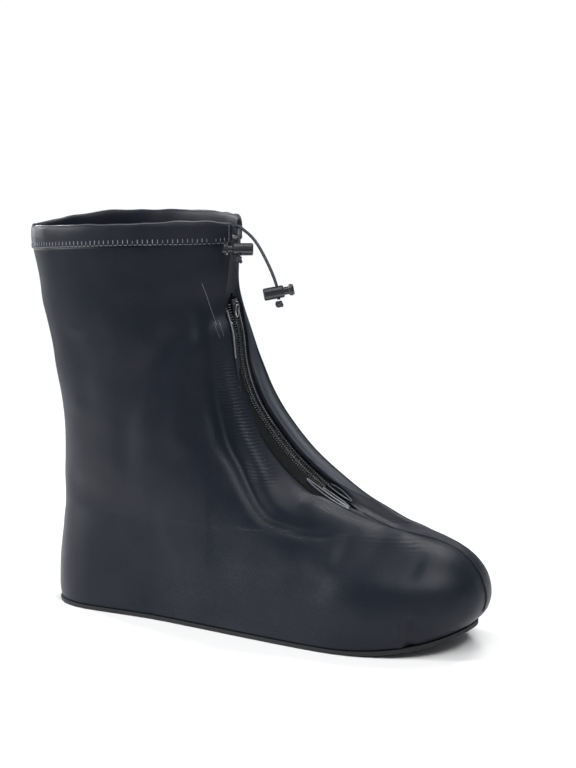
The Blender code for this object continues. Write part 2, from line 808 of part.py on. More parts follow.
def local_cylinder(name, radius, depth, across, parent, cutters):
    """A cutter along the parent's X axis; across is the length of its slot along Z."""
    bm = bmesh.new()
    turn = Matrix.Rotation(math.pi / 2, 4, "Y")
    bmesh.ops.create_cone(bm, cap_ends=True, segments=12, radius1=radius, radius2=radius, depth=depth, matrix=turn)
    for v in bm.verts:
        if v.co.z > 1e-7:
            v.co.z += across
    obj = finish(name, bm, "lock_plastic", cutters, smooth=False, shift=False)
    obj.parent = parent
    return make_cutter(obj)


def cord_lock(name, centre, axis, along_cord, group, cutters):
    """A barrel lock round the cord: local Z is the barrel's axis, local X the cord's way through it."""
    holder = bpy.data.objects.new(name + "_axis", None)
    group.objects.link(holder)
    z = Vector(axis).normalized()
    x = Vector(along_cord) - z * Vector(along_cord).dot(z)
    x.normalize()
    y = z.cross(x)
    frame = Matrix((x, y, z)).transposed().to_4x4()
    frame.translation = Vector(centre) - Vector((centre_x(), 0, 0))
    holder.matrix_world = frame
    r = BARREL_DIAMETER / 2
    bore = BARREL_BORE / 2
    low = -BARREL_CLOSED_END
    high = BARREL_OPEN_END
    barrel = turned(
        name + "_barrel",
        (
            (0, low + BARREL_FLOOR),
            (bore, low + BARREL_FLOOR),
            (bore, high),
            (r - BARREL_EDGE, high),
            (r, high - BARREL_EDGE),
            (r, low + BARREL_EDGE),
            (r - BARREL_EDGE, low),
            (0, low),
        ),
        LOCK_SIDES,
        "lock_plastic",
        group,
        holder,
    )
    stem = bore - STEM_CLEARANCE
    neck = high + PLUNGER_TRAVEL + FIT
    slot = CORD_HOLE + PLUNGER_TRAVEL
    stem_low = -CORD_HOLE / 2 - STEM_FOOT
    head = HEAD_DIAMETER / 2
    plunger = turned(
        name + "_plunger",
        (
            *[(head * across, neck + HEAD_LENGTH * up) for across, up in HEAD_PROFILE],
            (stem, neck),
            (stem, stem_low),
            (0, stem_low),
        ),
        LOCK_SIDES,
        "lock_plastic",
        group,
        holder,
    )
    hole = local_cylinder(name + "_hole", CORD_HOLE / 2, 2 * BARREL_DIAMETER, 0.0, holder, cutters)
    longer = slot - CORD_HOLE
    oblong = local_cylinder(name + "_slot", CORD_HOLE / 2, 2 * BARREL_DIAMETER, longer, holder, cutters)
    cut(barrel, hole, "hole")
    cut(plunger, oblong, "slot")
    return frame


def knot(name, end, direction, group):
    """The knot that keeps the lock on its cord."""
    bm = bmesh.new()
    bmesh.ops.create_uvsphere(bm, u_segments=12, v_segments=8, radius=KNOT_DIAMETER / 2)
    bmesh.ops.scale(bm, vec=KNOT_SHAPE, verts=bm.verts)
    centre = Vector(end) + Vector(direction).normalized() * (KNOT_DIAMETER / 2 + FIT)
    bmesh.ops.translate(bm, vec=centre, verts=bm.verts)
    return finish(name, bm, "drawcord", group)


def cords_and_locks(group, cutters):
    for name, points, lock_at, axis in (
        ("long", LONG_CORD, LONG_LOCK_AT, LONG_LOCK_AXIS),
        ("short", SHORT_CORD, SHORT_LOCK_AT, SHORT_LOCK_AXIS),
    ):
        tube("drawcord_" + name, smooth_route(points, 3), CORD_DIAMETER, "drawcord", group)
        way = Vector(points[-1]) - Vector(points[-2])
        through = Vector(points[lock_at + 1]) - Vector(points[lock_at - 1])
        cord_lock("lock_" + name, points[lock_at], axis, through, group, cutters)
        knot("knot_" + name, points[-1], way, group)


def build():
    clear_scene()
    parts = collection("waterproof_shoe_cover")
    cutters = collection("cutters")
    cutters.hide_render = True
    upper(parts)
    sole(parts, cutters)
    casing(parts, cutters)
    zip_pieces(parts)
    facings(parts)
    toe_seam(parts)
    frame, top = slider(parts, cutters)
    pull_ring(parts, frame, top)
    cords_and_locks(parts, cutters)


build()
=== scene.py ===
"""Looks of the waterproof shoe cover: creased coated cloth, drawcord collar, front zip and cord locks."""

import math

import bmesh
import bpy
import numpy as np
from mathutils import Matrix, Vector, noise
from mathutils.bvhtree import BVHTree


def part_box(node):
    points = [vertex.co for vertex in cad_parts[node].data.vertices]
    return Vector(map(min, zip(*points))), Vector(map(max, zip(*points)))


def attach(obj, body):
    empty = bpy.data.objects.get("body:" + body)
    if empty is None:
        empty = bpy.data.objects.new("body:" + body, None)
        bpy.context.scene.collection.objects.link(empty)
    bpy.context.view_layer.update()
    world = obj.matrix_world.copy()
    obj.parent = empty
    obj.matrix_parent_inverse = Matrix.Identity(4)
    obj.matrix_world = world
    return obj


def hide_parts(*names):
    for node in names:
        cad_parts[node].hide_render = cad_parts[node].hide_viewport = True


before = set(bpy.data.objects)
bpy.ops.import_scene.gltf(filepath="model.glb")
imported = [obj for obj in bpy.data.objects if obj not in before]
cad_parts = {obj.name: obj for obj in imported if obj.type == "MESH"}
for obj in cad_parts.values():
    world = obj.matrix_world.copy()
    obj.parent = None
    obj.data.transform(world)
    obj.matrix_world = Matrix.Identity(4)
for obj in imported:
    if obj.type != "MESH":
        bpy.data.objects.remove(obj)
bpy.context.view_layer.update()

GROUP = bpy.context.scene.collection

# The cover's own sizes, as its solids have them, in metres
FOOT_LENGTH = 0.305
BALL_WIDTH = 0.104
TOE_HEIGHT = 0.0700
SHAFT_HEIGHT = 0.2410
COLLAR_WIDTH = 0.112
TOE_SPRING = 0.0120
SPRING_FROM = 0.70
WALL = 0.0012
LIP_HEIGHT = 0.0110
LIP_SPREAD = 0.0120
SLOT_WIDTH = 0.0070
COLLAR_BOW = 0.0030
RIB_PITCH = 0.0021
HEEL_X = -0.145
SHIFT_X = -0.0006975
# Steps for the front's slope, up and across, and steps a section on the lines beside the front
MIDDLE_STEP = 0.05
SLOPE_STEP = 0.0006
LINE_STEPS = 6
FOOT_TOP_START = 0.43
# The zip's slot: its narrowest share, and how it widens from both ends, as (length in sections, start)
FLAT_MOST = 0.6
SLOT_NARROWEST = 0.35
SLOT_LOWER_TAPER = (0.5, 0.3)
SLOT_UPPER_TAPER = (0.6, 0.2)

SECTION_COLUMNS = ("back_x", "back_z", "front_x", "front_z", "spring", "near_lip", "far_lip", "spread")
SECTIONS = (
    (0.004, 0.044, 0.968, 0.215, 1.0, 0.0, 0.0, 0.25),
    (-0.001, 0.13, 0.99, 0.32, 0.8, 0.0, 0.0, 0.25),
    (-0.001, 0.3, 1.0, 0.455, 0.6, 0.0, 0.0, 0.27),
    (0.001, 0.46, 0.994, 0.6, 0.4, 0.0, 0.0, 0.32),
    (0.005, 0.6, 0.978, 0.735, 0.25, 0.0, 0.0, 0.4),
    (0.009, 0.72, 0.945, 0.86, 0.12, 0.0, 0.0, 0.55),
    (0.011, 0.83, 0.894, 0.945, 0.05, 0.02, 0.06, 0.75),
    (0.013, 0.94, 0.826, 0.985, 0.0, 0.02, 0.22, 0.9),
    (0.014, 1.035, 0.752, 1.027, 0.0, -0.08, 0.55, 0.98),
    (0.014, 1.11, 0.664, 1.097, 0.0, -0.38, 0.85, 1.0),
    (0.0165, 1.185, 0.574, 1.206, 0.0, -0.46, 0.98, 1.0),
    (0.018, 1.28, 0.508, 1.33, 0.0, -0.34, 1.0, 1.0),
    (0.0155, 1.39, 0.466, 1.44, 0.0, -0.1, 1.0, 1.0),
    (0.0065, 1.51, 0.442, 1.56, 0.0, 0.05, 0.82, 1.0),
    (-0.004, 1.64, 0.433, 1.68, 0.0, 0.02, 0.4, 0.95),
    (-0.021, 1.77, 0.42, 1.79, 0.0, -0.06, 0.22, 0.82),
    (-0.028, 1.88, 0.42, 1.885, 0.0, 0.06, -0.03, 0.7),
    (-0.041, 1.985, 0.428, 2.035, 0.0, 0.12, -0.12, 0.67),
)
SLOT_START = 8.5
SLOT_END = 15.5
OUTLINE = (
    (0.0, 0.62), (0.12, 0.64), (0.27, 0.66), (0.41, 0.76),
    (0.55, 0.88), (0.70, 0.99), (0.80, 1.03), (1.0, 1.0),
)
HEEL_ROUND = 0.13
TOE_ROUND = 0.30
PLAN_POWER = 2.3
LEG = ((0.0, 0.70), (0.90, 0.76), (1.25, 0.78), (1.55, 0.84), (1.80, 0.92), (2.0, 1.0))
LEG_WIDEST = 0.48
LEG_BACK_POWER = 2.25
LEG_FRONT_POWER = 1.75
ARCH_POWER = 2.25
LEG_BLEND = (0.60, 1.45)
WIDEST_LEVEL = 0.30
NEAR_FOLD = ((0.0, 0.0), (0.5, 0.41), (1.0, 1.0))
FAR_FOLD = ((0.0, 0.0), (0.45, 0.13), (0.80, 0.56), (1.0, 1.0))
CASING = (
    (0.0, 0.0108), (0.06, 0.0126), (0.20, 0.0116), (0.35, 0.0124),
    (0.50, 0.0146), (0.62, 0.0168), (0.75, 0.0138), (1.0, 0.0122),
)


# Curves through the tables

def hermite(start, end, slope_start, slope_end, t):
    falling = 2 * t**3 - 3 * t**2 + 1
    leaving = (t**3 - 2 * t**2 + t) * slope_start
    arriving = (t**3 - t**2) * slope_end
    return falling * start + (1 - falling) * end + leaving + arriving


def catmull(values, at):
    last = len(values) - 1
    at = min(max(at, 0.0), float(last))
    i = min(int(at), last - 1)
    before = values[i - 1] if i > 0 else 2 * values[i] - values[i + 1]
    after = values[i + 2] if i + 2 <= last else 2 * values[i + 1] - values[i]
    return hermite(values[i], values[i + 1], (values[i + 1] - before) / 2, (after - values[i]) / 2, at - i)


def between(table, x):
    last = len(table) - 1
    if x <= table[0][0]:
        return table[0][1]
    if x >= table[last][0]:
        return table[last][1]
    slopes = [(y1 - y0) / (x1 - x0) for (x0, y0), (x1, y1) in zip(table, table[1:])]

    def slope_at(k):
        before, after = slopes[max(k - 1, 0)], slopes[min(k, last - 1)]
        return 2 * before * after / (before + after) if before * after > 0 else 0.0

    i = next(k for k in range(last) if x <= table[k + 1][0])
    (x0, y0), (x1, y1) = table[i], table[i + 1]
    width = x1 - x0
    return hermite(y0, y1, slope_at(i) * width, slope_at(i + 1) * width, (x - x0) / width)


def linear(table, x):
    return float(np.interp(x, table[0], table[1]))


def columns(table):
    return tuple(zip(*table))


def clamped(x):
    return min(max(x, 0.0), 1.0)


def ease(t):
    t = clamped(t)
    return t * t * (3 - 2 * t)


def rounded(share, power):
    return (1 - clamped(share)**power) ** (1 / power)


def height(level):
    return TOE_HEIGHT * min(level, 1.0) + (SHAFT_HEIGHT - TOE_HEIGHT) * max(level - 1.0, 0.0)


def level_of(z):
    return z / TOE_HEIGHT if z < TOE_HEIGHT else 1.0 + (z - TOE_HEIGHT) / (SHAFT_HEIGHT - TOE_HEIGHT)


def along(share):
    return HEEL_X + SHIFT_X + FOOT_LENGTH * share


COLUMN = {name: [row[i] for row in SECTIONS] for i, name in enumerate(SECTION_COLUMNS)}
LAST_SECTION = len(SECTIONS) - 1
NEAR_FOLD_AT = columns(NEAR_FOLD)
FAR_FOLD_AT = columns(FAR_FOLD)
known = {}


def section(row):
    row = min(max(row, 0.0), float(LAST_SECTION))
    if row not in known:
        known[row] = {name: catmull(COLUMN[name], row) for name in SECTION_COLUMNS}
    return known[row]


def middle(row):
    """The front's middle line: a point, the way out from it and the way up along it."""
    here = section(row)
    below = section(max(row - MIDDLE_STEP, 0.0))
    above = section(min(row + MIDDLE_STEP, LAST_SECTION))
    run = along(above["front_x"]) - along(below["front_x"])
    climb = height(above["front_z"]) - height(below["front_z"])
    up = Vector((run, 0, climb)).normalized()
    return Vector((along(here["front_x"]), 0, height(here["front_z"]))), Vector((up.z, 0, -up.x)), up


def slot_half(row):
    lower = ease((row - SLOT_START) / SLOT_LOWER_TAPER[0] + SLOT_LOWER_TAPER[1])
    upper = ease((SLOT_END - row) / SLOT_UPPER_TAPER[0] + SLOT_UPPER_TAPER[1])
    return SLOT_WIDTH / 2 * max(SLOT_NARROWEST, min(1.0, lower, upper))


def front_reach(row):
    spread = LIP_SPREAD * section(row)["spread"]
    return min(slot_half(row), FLAT_MOST * spread), spread


def fold_share(row, y):
    """Where a distance y from the front's middle line lies on the fold beside it, 0 to 1."""
    start, end = front_reach(row)
    return (abs(y) - start) / (end - start)


def front_rise(row, y):
    here = section(row)
    share = clamped(fold_share(row, y))
    if y < 0:
        return LIP_HEIGHT * here["near_lip"] * linear(NEAR_FOLD_AT, share)
    return LIP_HEIGHT * here["far_lip"] * linear(FAR_FOLD_AT, share)


def front_place(row, side, share):
    start, end = front_reach(row)
    return side * (start + (end - start) * share)


def front_point(row, y, lift=0.0):
    """A point on the front at a distance y from its middle line, raised square to its face."""
    point, outward, _ = middle(row)
    slope = (front_rise(row, y + SLOPE_STEP) - front_rise(row, y - SLOPE_STEP)) / (2 * SLOPE_STEP)
    square = math.hypot(slope, 1)
    point = point + outward * (front_rise(row, y) + lift / square)
    return Vector((point.x, y - slope * lift / square, point.z))


def lip_point(row, side):
    return front_point(row, front_place(row, side, 1.0))


LINE_ROWS = [i / LINE_STEPS for i in range(LINE_STEPS * LAST_SECTION + 1)]


def front_lines(side):
    """One side's edge beside the front, as its height over x along the foot and its x over height."""
    points = [lip_point(row, side) for row in LINE_ROWS]
    start = along(FOOT_TOP_START)
    over_x = sorted((p.x, p.z) for row, p in zip(LINE_ROWS, points) if row >= 2 and p.x > start)
    over_z = sorted((p.z, p.x) for p in points)
    return columns(over_x), columns(over_z)


LINES = {side: front_lines(side) for side in (-1, 1)}
BACK_OVER_Z = columns(sorted((height(at["back_z"]), along(at["back_x"])) for at in map(section, LINE_ROWS)))


def plan_half(share):
    heel = rounded((HEEL_ROUND - share) / HEEL_ROUND, PLAN_POWER)
    toe = rounded((share - 1 + TOE_ROUND) / TOE_ROUND, PLAN_POWER)
    return BALL_WIDTH / 2 * between(OUTLINE, share) * heel * toe


def spring_curve(share):
    return (max(share - SPRING_FROM, 0.0) / (1 - SPRING_FROM)) ** 3


def half_width(x, z, share, side, low):
    over_x, over_z = LINES[side]
    back = linear(BACK_OVER_Z, z)
    if low:
        foot = plan_half(share)
    else:
        foot = plan_half((x - back) / (along(1.0) - back))
        widest = height(WIDEST_LEVEL) + TOE_SPRING * spring_curve((x - along(0.0)) / FOOT_LENGTH)
        if x > over_x[0][0]:
            foot *= rounded((z - widest) / max(linear(over_x, x) - widest, 1e-4), ARCH_POWER)
    front = linear(over_z, z)
    u = (x - back) / max(front - back, 1e-4)
    if u > LEG_WIDEST:
        oval = rounded((u - LEG_WIDEST) / (1 - LEG_WIDEST), LEG_FRONT_POWER)
    else:
        oval = rounded((LEG_WIDEST - u) / LEG_WIDEST, LEG_BACK_POWER)
    leg = COLLAR_WIDTH / 2 * between(LEG, level_of(z)) * oval
    t = ease((level_of(z) - LEG_BLEND[0]) / (LEG_BLEND[1] - LEG_BLEND[0]))
    return foot + (leg - foot) * t


def side_point(row, side, turn):
    """A point of a section's side, turn 0 at the back seam and 1 at the lip."""
    here = section(row)
    if turn >= 1:
        return lip_point(row, side)
    start = Vector((along(here["back_x"]), 0, height(here["back_z"])))
    end = lip_point(row, side)
    share = (1 - math.cos(math.pi * turn)) / 2
    rise = here["spring"] * spring_curve(share) + (1 - here["spring"]) * share
    x = start.x + (end.x - start.x) * share
    bow = COLLAR_BOW * max(row - LAST_SECTION + 1, 0.0)
    z = start.z + (end.z - start.z) * rise + 4 * bow * share * (1 - share)
    wide = half_width(x, z, share, side, row <= 2)
    if turn <= 0:
        return start
    return Vector((x, side * math.hypot(wide, abs(end.y) * ease(share)), z))


# The camera at the photo's angle, as fitted: lens, place, and tilt down and turn in degrees

LENS = 94.40
CAMERA_PLACE = (0.594582, -1.129999, 0.361688)
CAMERA_TILT = 9.2049
CAMERA_TURN = 26.8648


def make_camera():
    data = bpy.data.cameras.new("photo_view")
    data.lens = LENS
    data.sensor_width = 36
    data.clip_start = 0.05
    data.clip_end = 60
    camera = bpy.data.objects.new("photo_view", data)
    GROUP.objects.link(camera)
    camera.location = CAMERA_PLACE
    camera.rotation_euler = (math.pi / 2 - math.radians(CAMERA_TILT), 0, math.radians(CAMERA_TURN))
    bpy.context.scene.camera = camera


make_camera()


# Making pieces

def grid_piece(name, nu, nv, place, finish, wrap=False, wall=0.0, uv=(1.0, 1.0)):
    """A sheet of nu by nv faces laid by place(u, v), both 0 to 1, with its own UV map in metres.
    A wrapped sheet is closed round u and capped at both ends."""
    bm = bmesh.new()
    bmesh.ops.create_grid(bm, x_segments=nu, y_segments=nv, size=0.5)
    sheet = bm.loops.layers.uv.new("UVMap")
    for face in bm.faces:
        for loop in face.loops:
            loop[sheet].uv = ((loop.vert.co.x + 0.5) * uv[0], (loop.vert.co.y + 0.5) * uv[1])
    for vert in bm.verts:
        vert.co = place(round((vert.co.x + 0.5) * nu) / nu, round((vert.co.y + 0.5) * nv) / nv)
    if wrap:
        bmesh.ops.remove_doubles(bm, verts=bm.verts, dist=1e-6)
        bmesh.ops.holes_fill(bm, edges=[e for e in bm.edges if e.is_boundary], sides=0)
    bmesh.ops.recalc_face_normals(bm, faces=bm.faces)
    return finished(name, bm, finish, wall)


def finished(name, bm, finish, wall=0.0, angle=50):
    """The bmesh as a finished object: smooth, sharp past an angle, with its wall and slot."""
    mesh = bpy.data.meshes.new(name)
    bm.to_mesh(mesh)
    bm.free()
    obj = bpy.data.objects.new(name, mesh)
    GROUP.objects.link(obj)
    mesh.materials.append(finish)
    mesh.shade_smooth()
    if angle:
        mesh.set_sharp_from_angle(angle=math.radians(angle))
    if wall:
        made = obj.modifiers.new("wall", "SOLIDIFY")
        made.thickness = wall
        made.offset = -1
    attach(obj, "root")
    return obj


# Shader groups: each is built once and used by several finishes

def new_group(name, inputs, outputs):
    """A group with a Vector, other inputs that are numbers, and outputs that are numbers."""
    group = bpy.data.node_groups.new(name, "ShaderNodeTree")
    for way, sockets in (("INPUT", ("Vector", *inputs)), ("OUTPUT", outputs)):
        for socket in sockets:
            kind = "NodeSocketVector" if socket == "Vector" else "NodeSocketFloat"
            group.interface.new_socket(socket, in_out=way, socket_type=kind)
    return group, group.nodes.new("NodeGroupInput"), group.nodes.new("NodeGroupOutput")


def math_node(tree, operation, a, b=None, clamp=False):
    node = tree.nodes.new("ShaderNodeMath")
    node.operation = operation
    node.use_clamp = clamp
    for socket, value in zip(node.inputs, (a, b)):
        if value is None:
            continue
        if isinstance(value, (int, float)):
            socket.default_value = value
        else:
            tree.links.new(value, socket)
    return node.outputs[0]


def parts_of(tree, vector):
    """The X, Y and Z of a vector, as a node's outputs."""
    node = tree.nodes.new("ShaderNodeSeparateXYZ")
    tree.links.new(vector, node.inputs[0])
    return node.outputs


def times(tree, a, b):
    return math_node(tree, "MULTIPLY", a, b)


def noise_node(tree, vector, scale, detail=2.0, roughness=0.5):
    node = tree.nodes.new("ShaderNodeTexNoise")
    node.inputs["Detail"].default_value = detail
    node.inputs["Roughness"].default_value = roughness
    if isinstance(scale, (int, float)):
        node.inputs["Scale"].default_value = scale
    else:
        tree.links.new(scale, node.inputs["Scale"])
    tree.links.new(vector, node.inputs["Vector"])
    return node.outputs["Fac"]


def weave_group():
    """Crossing threads: the height of a plain weave on a UV map in metres."""
    group, enter, leave = new_group("plain_weave", ("Threads per metre", "Unevenness"), ("Height",))
    split = parts_of(group, enter.outputs["Vector"])
    turns = times(group, enter.outputs["Threads per metre"], math.pi)
    across = math_node(group, "SINE", times(group, split["X"], turns))
    down = math_node(group, "SINE", times(group, split["Y"], turns))
    both = times(group, across, down)
    uneven = noise_node(group, enter.outputs["Vector"], 900.0)
    ripple = times(group, uneven, enter.outputs["Unevenness"])
    total = math_node(group, "ADD", times(group, both, 0.5), ripple)
    group.links.new(total, leave.inputs["Height"])
    return group


def grain_group():
    """Fine grain with slow cloudy variation, on Object coordinates."""
    group, enter, leave = new_group("fine_grain", ("Grain scale", "Cloud scale"), ("Grain", "Clouds"))
    for socket, scale, roughness in (("Grain", "Grain scale", 0.6), ("Clouds", "Cloud scale", 0.55)):
        fac = noise_node(group, enter.outputs["Vector"], enter.outputs[scale], 3.0, roughness)
        group.links.new(fac, leave.inputs[socket])
    return group


WEAVE = weave_group()
GRAIN = grain_group()
CLOTH_THREADS = 1500.0
TAPE_THREADS = 1100.0
BRAID_STRANDS = 4
CORD_DIAMETER = 0.0020
CORD_BRAID_PITCH = 0.0022


def new_finish(name, roughness, **shader_values):
    """A material with its Principled shader and the constants that stay on the shader's own sockets."""
    made = bpy.data.materials.new(name)
    made.use_nodes = True
    tree = made.node_tree
    shader = tree.nodes["Principled BSDF"]
    shader.inputs["Roughness"].default_value = roughness
    for socket, value in shader_values.items():
        shader.inputs[socket.replace("_", " ")].default_value = value
    return made, tree, shader


def use_group(tree, group, vector, **values):
    node = tree.nodes.new("ShaderNodeGroup")
    node.node_tree = group
    tree.links.new(vector, node.inputs["Vector"])
    for socket, value in values.items():
        node.inputs[socket.replace("_", " ")].default_value = value
    return node


def ramp(tree, factor, low, high, start=0.3, end=0.7):
    node = tree.nodes.new("ShaderNodeValToRGB")
    node.color_ramp.elements[0].position = start
    node.color_ramp.elements[0].color = (*low, 1)
    node.color_ramp.elements[1].position = end
    node.color_ramp.elements[1].color = (*high, 1)
    tree.links.new(factor, node.inputs[0])
    return node.outputs["Color"]


def spread_value(tree, factor, low, high):
    node = tree.nodes.new("ShaderNodeMapRange")
    node.inputs["To Min"].default_value = low
    node.inputs["To Max"].default_value = high
    tree.links.new(factor, node.inputs["Value"])
    return node.outputs["Result"]


def add_bumps(tree, shader, heights):
    """Stacks bumps: (height, strength, distance in metres) each."""
    normal = None
    for value, strength, distance in heights:
        bump = tree.nodes.new("ShaderNodeBump")
        bump.inputs["Strength"].default_value = strength
        bump.inputs["Distance"].default_value = distance
        tree.links.new(value, bump.inputs["Height"])
        if normal is not None:
            tree.links.new(normal, bump.inputs["Normal"])
        normal = bump.outputs["Normal"]
    tree.links.new(normal, shader.inputs["Normal"])


def object_place(tree):
    return tree.nodes.new("ShaderNodeTexCoord").outputs["Object"]


def sheet_place(tree):
    return tree.nodes.new("ShaderNodeTexCoord").outputs["UV"]


def grained_finish(name, roughness, grain_scale, cloud_scale, **shader_values):
    """A finish, and the fine grain and slow clouds on its surface."""
    made, tree, shader = new_finish(name, roughness, **shader_values)
    grain = use_group(tree, GRAIN, object_place(tree), Grain_scale=grain_scale, Cloud_scale=cloud_scale)
    return made, tree, shader, grain.outputs["Grain"], grain.outputs["Clouds"]


def shade_by(tree, shader, factor, dark, light, rough=None, start=0.3, end=0.7, rough_factor=None):
    """Colour, and roughness where two values are given, change with a factor over the surface."""
    tree.links.new(ramp(tree, factor, dark, light, start, end), shader.inputs["Base Color"])
    if rough:
        rough_factor = factor if rough_factor is None else rough_factor
        tree.links.new(spread_value(tree, rough_factor, *rough), shader.inputs["Roughness"])


def coated_cloth(name, dark, light, rough, weave=0.25, ribs=False):
    made, tree, shader, grain, clouds = grained_finish(
        name, 0.4, 1400.0, 22.0, IOR=1.40, Specular_IOR_Level=0.30, Coat_Weight=0.03, Coat_Roughness=0.35)
    cloth = use_group(tree, WEAVE, sheet_place(tree), Threads_per_metre=CLOTH_THREADS, Unevenness=0.3)
    shade_by(tree, shader, clouds, dark, light, rough)
    bumps = [(cloth.outputs["Height"], weave, 0.0003), (grain, 0.22, 0.0004)]
    if ribs:
        mask = tree.nodes.new("ShaderNodeAttribute")
        mask.attribute_name = "ribs"
        split = parts_of(tree, object_place(tree))
        sway = times(tree, noise_node(tree, object_place(tree), 160.0), 5.0)
        rising = times(tree, split["Z"], 2 * math.pi / RIB_PITCH)
        waves = math_node(tree, "SINE", math_node(tree, "ADD", rising, sway))
        bumps.append((times(tree, waves, mask.outputs["Fac"]), 0.32, 0.0004))
    add_bumps(tree, shader, bumps)
    return made


def gloss_film(name, colour, rough=0.16):
    made, tree, shader, grain, clouds = grained_finish(
        name, rough, 420.0, 70.0, Specular_IOR_Level=0.55, Coat_Weight=0.5, Coat_Roughness=0.08)
    lighter = tuple(c * 1.35 for c in colour)
    shade_by(tree, shader, clouds, colour, lighter, (rough * 0.7, rough * 1.5))
    add_bumps(tree, shader, ((clouds, 0.5, 0.0012), (grain, 0.12, 0.0003)))
    return made


def woven_tape(name, dark, light):
    made, tree, shader, grain, clouds = grained_finish(name, 0.7, 1800.0, 120.0, Specular_IOR_Level=0.16)
    cloth = use_group(tree, WEAVE, sheet_place(tree), Threads_per_metre=TAPE_THREADS, Unevenness=0.5)
    # The tape's colour follows the weave's height: painted shade in the hollows between threads, painted
    # sheen on their crests
    shade_by(tree, shader, cloth.outputs["Height"], dark, light, (0.62, 0.8), 0.0, 0.7, clouds)
    add_bumps(tree, shader, ((cloth.outputs["Height"], 0.8, 0.0004), (grain, 0.2, 0.0002)))
    return made


def moulded(name, dark, light, rough, metallic=0.0, coat=0.3, grain_depth=0.12):
    made, tree, shader, grain, clouds = grained_finish(
        name, rough, 1500.0, 160.0, Metallic=metallic, Coat_Weight=coat, Coat_Roughness=0.15)
    shade_by(tree, shader, clouds, dark, light, (rough * 0.8, rough * 1.25))
    add_bumps(tree, shader, ((grain, grain_depth, 0.0003),))
    return made


def braided(name, dark, light, diameter, pitch):
    """Braid on a tube's UV map: U runs round it, V along it in metres."""
    made, tree, shader = new_finish(name, 0.45, Specular_IOR_Level=0.45, Coat_Weight=0.2, Coat_Roughness=0.25)
    split = parts_of(tree, sheet_place(tree))
    turns = 2 * math.pi * BRAID_STRANDS / (math.pi * diameter)
    around = times(tree, split["X"], turns)
    length = times(tree, split["Y"], 2 * math.pi / pitch)
    left = math_node(tree, "SINE", math_node(tree, "ADD", around, length))
    right = math_node(tree, "SINE", math_node(tree, "SUBTRACT", around, length))
    strands = math_node(tree, "MAXIMUM", left, right)
    # The cord's colour follows the strands' height: painted shade in the grooves, painted sheen on the crests
    shade_by(tree, shader, strands, dark, light, start=0.1, end=0.95)
    add_bumps(tree, shader, ((strands, 0.7, 0.0003),))
    return made


CLOTH = coated_cloth("cloth_coated", (0.0040, 0.0068, 0.0140), (0.0096, 0.0118, 0.0190), (0.33, 0.44),
                     ribs=True)
HEM_CLOTH = coated_cloth("cloth_hem", (0.0060, 0.0095, 0.0175), (0.0140, 0.0155, 0.0225), (0.38, 0.52),
                         weave=0.3)
# The far flap's cloth, painted several times lighter than the cover's: a painted sheen for its lit side
FLAP_PAINTED_SHEEN = coated_cloth("cloth_flap_painted_sheen", (0.0340, 0.0390, 0.0510), (0.0480, 0.0540, 0.0680), (0.28, 0.38))
SHEET = moulded("sole_rubber", (0.0036, 0.0050, 0.0080), (0.0070, 0.0080, 0.0112), 0.70,
                coat=0.0, grain_depth=0.45)
FILM = gloss_film("film_gloss", (0.0065, 0.0075, 0.0105))
TAPE = woven_tape("tape_woven", (0.0015, 0.0018, 0.0026), (0.0070, 0.0080, 0.0105))
COIL = moulded("coil_nylon", (0.0050, 0.0055, 0.0070), (0.0100, 0.0108, 0.0135), 0.30)
THREAD = moulded("thread_spun", (0.14, 0.15, 0.175), (0.24, 0.25, 0.28), 0.5, coat=0.0)
GLOSS = gloss_film("film_fold", (0.0110, 0.0125, 0.0170), 0.10)
# A lighter film for thin edges and folds: a painted highlight
RIM_PAINTED_HIGHLIGHT_FILM = gloss_film("film_rim_painted_highlight", (0.060, 0.066, 0.080), 0.22)
# A near-white film for thin streaks: a painted highlight
PAINTED_HIGHLIGHT_FILM = gloss_film("film_painted_highlight", (0.170, 0.180, 0.210), 0.16)
METAL = moulded("metal_plated", (0.10, 0.102, 0.11), (0.17, 0.174, 0.185), 0.26,
                metallic=1.0, coat=0.0, grain_depth=0.05)
# The pull's metal, made far brighter than the slider's: a painted highlight on the ring
PULL_METAL_PAINTED_HIGHLIGHT = moulded("metal_pull_painted_highlight", (0.50, 0.50, 0.51), (0.66, 0.66, 0.67), 0.18,
                     metallic=1.0, coat=0.0, grain_depth=0.03)
CORD = braided("cord_elastic", (0.0080, 0.0090, 0.0120), (0.0420, 0.0450, 0.0560),
               CORD_DIAMETER, CORD_BRAID_PITCH)
PLASTIC = moulded("plastic_lock", (0.0090, 0.0100, 0.0135), (0.0150, 0.0165, 0.0210), 0.24, coat=0.5)


# The drawcords, their knots and locks

def in_frame(points):
    return [Vector((x + SHIFT_X, y, z)) for x, y, z in points]


LONG_CORD = in_frame((
    (-0.0147, -0.01, 0.2552), (-0.0136, -0.0077, 0.2556), (-0.0122, -0.006, 0.256),
    (-0.0101, -0.0054, 0.2561), (-0.0077, -0.0057, 0.2554), (-0.005, -0.0067, 0.254),
    (-0.001, -0.0082, 0.252), (0.0034, -0.0098, 0.2491), (0.0078, -0.011, 0.2446),
    (0.0118, -0.012, 0.2393), (0.0155, -0.0127, 0.2335), (0.019, -0.0133, 0.2272),
    (0.0218, -0.0138, 0.2208), (0.0228, -0.014, 0.2166), (0.0237, -0.0142, 0.212),
))
SHORT_CORD = in_frame((
    (-0.0183, 0.012, 0.252), (-0.0172, 0.0098, 0.2523), (-0.0158, 0.007, 0.2525),
    (-0.014, 0.0035, 0.2523), (-0.012, -0.0002, 0.2518), (-0.0098, -0.0042, 0.2511),
    (-0.008, -0.0076, 0.2503), (-0.0066, -0.0102, 0.2486), (-0.00535, -0.01264, 0.24622),
    (-0.0042, -0.0149, 0.2425), (-0.00297, -0.01731, 0.23854),
))
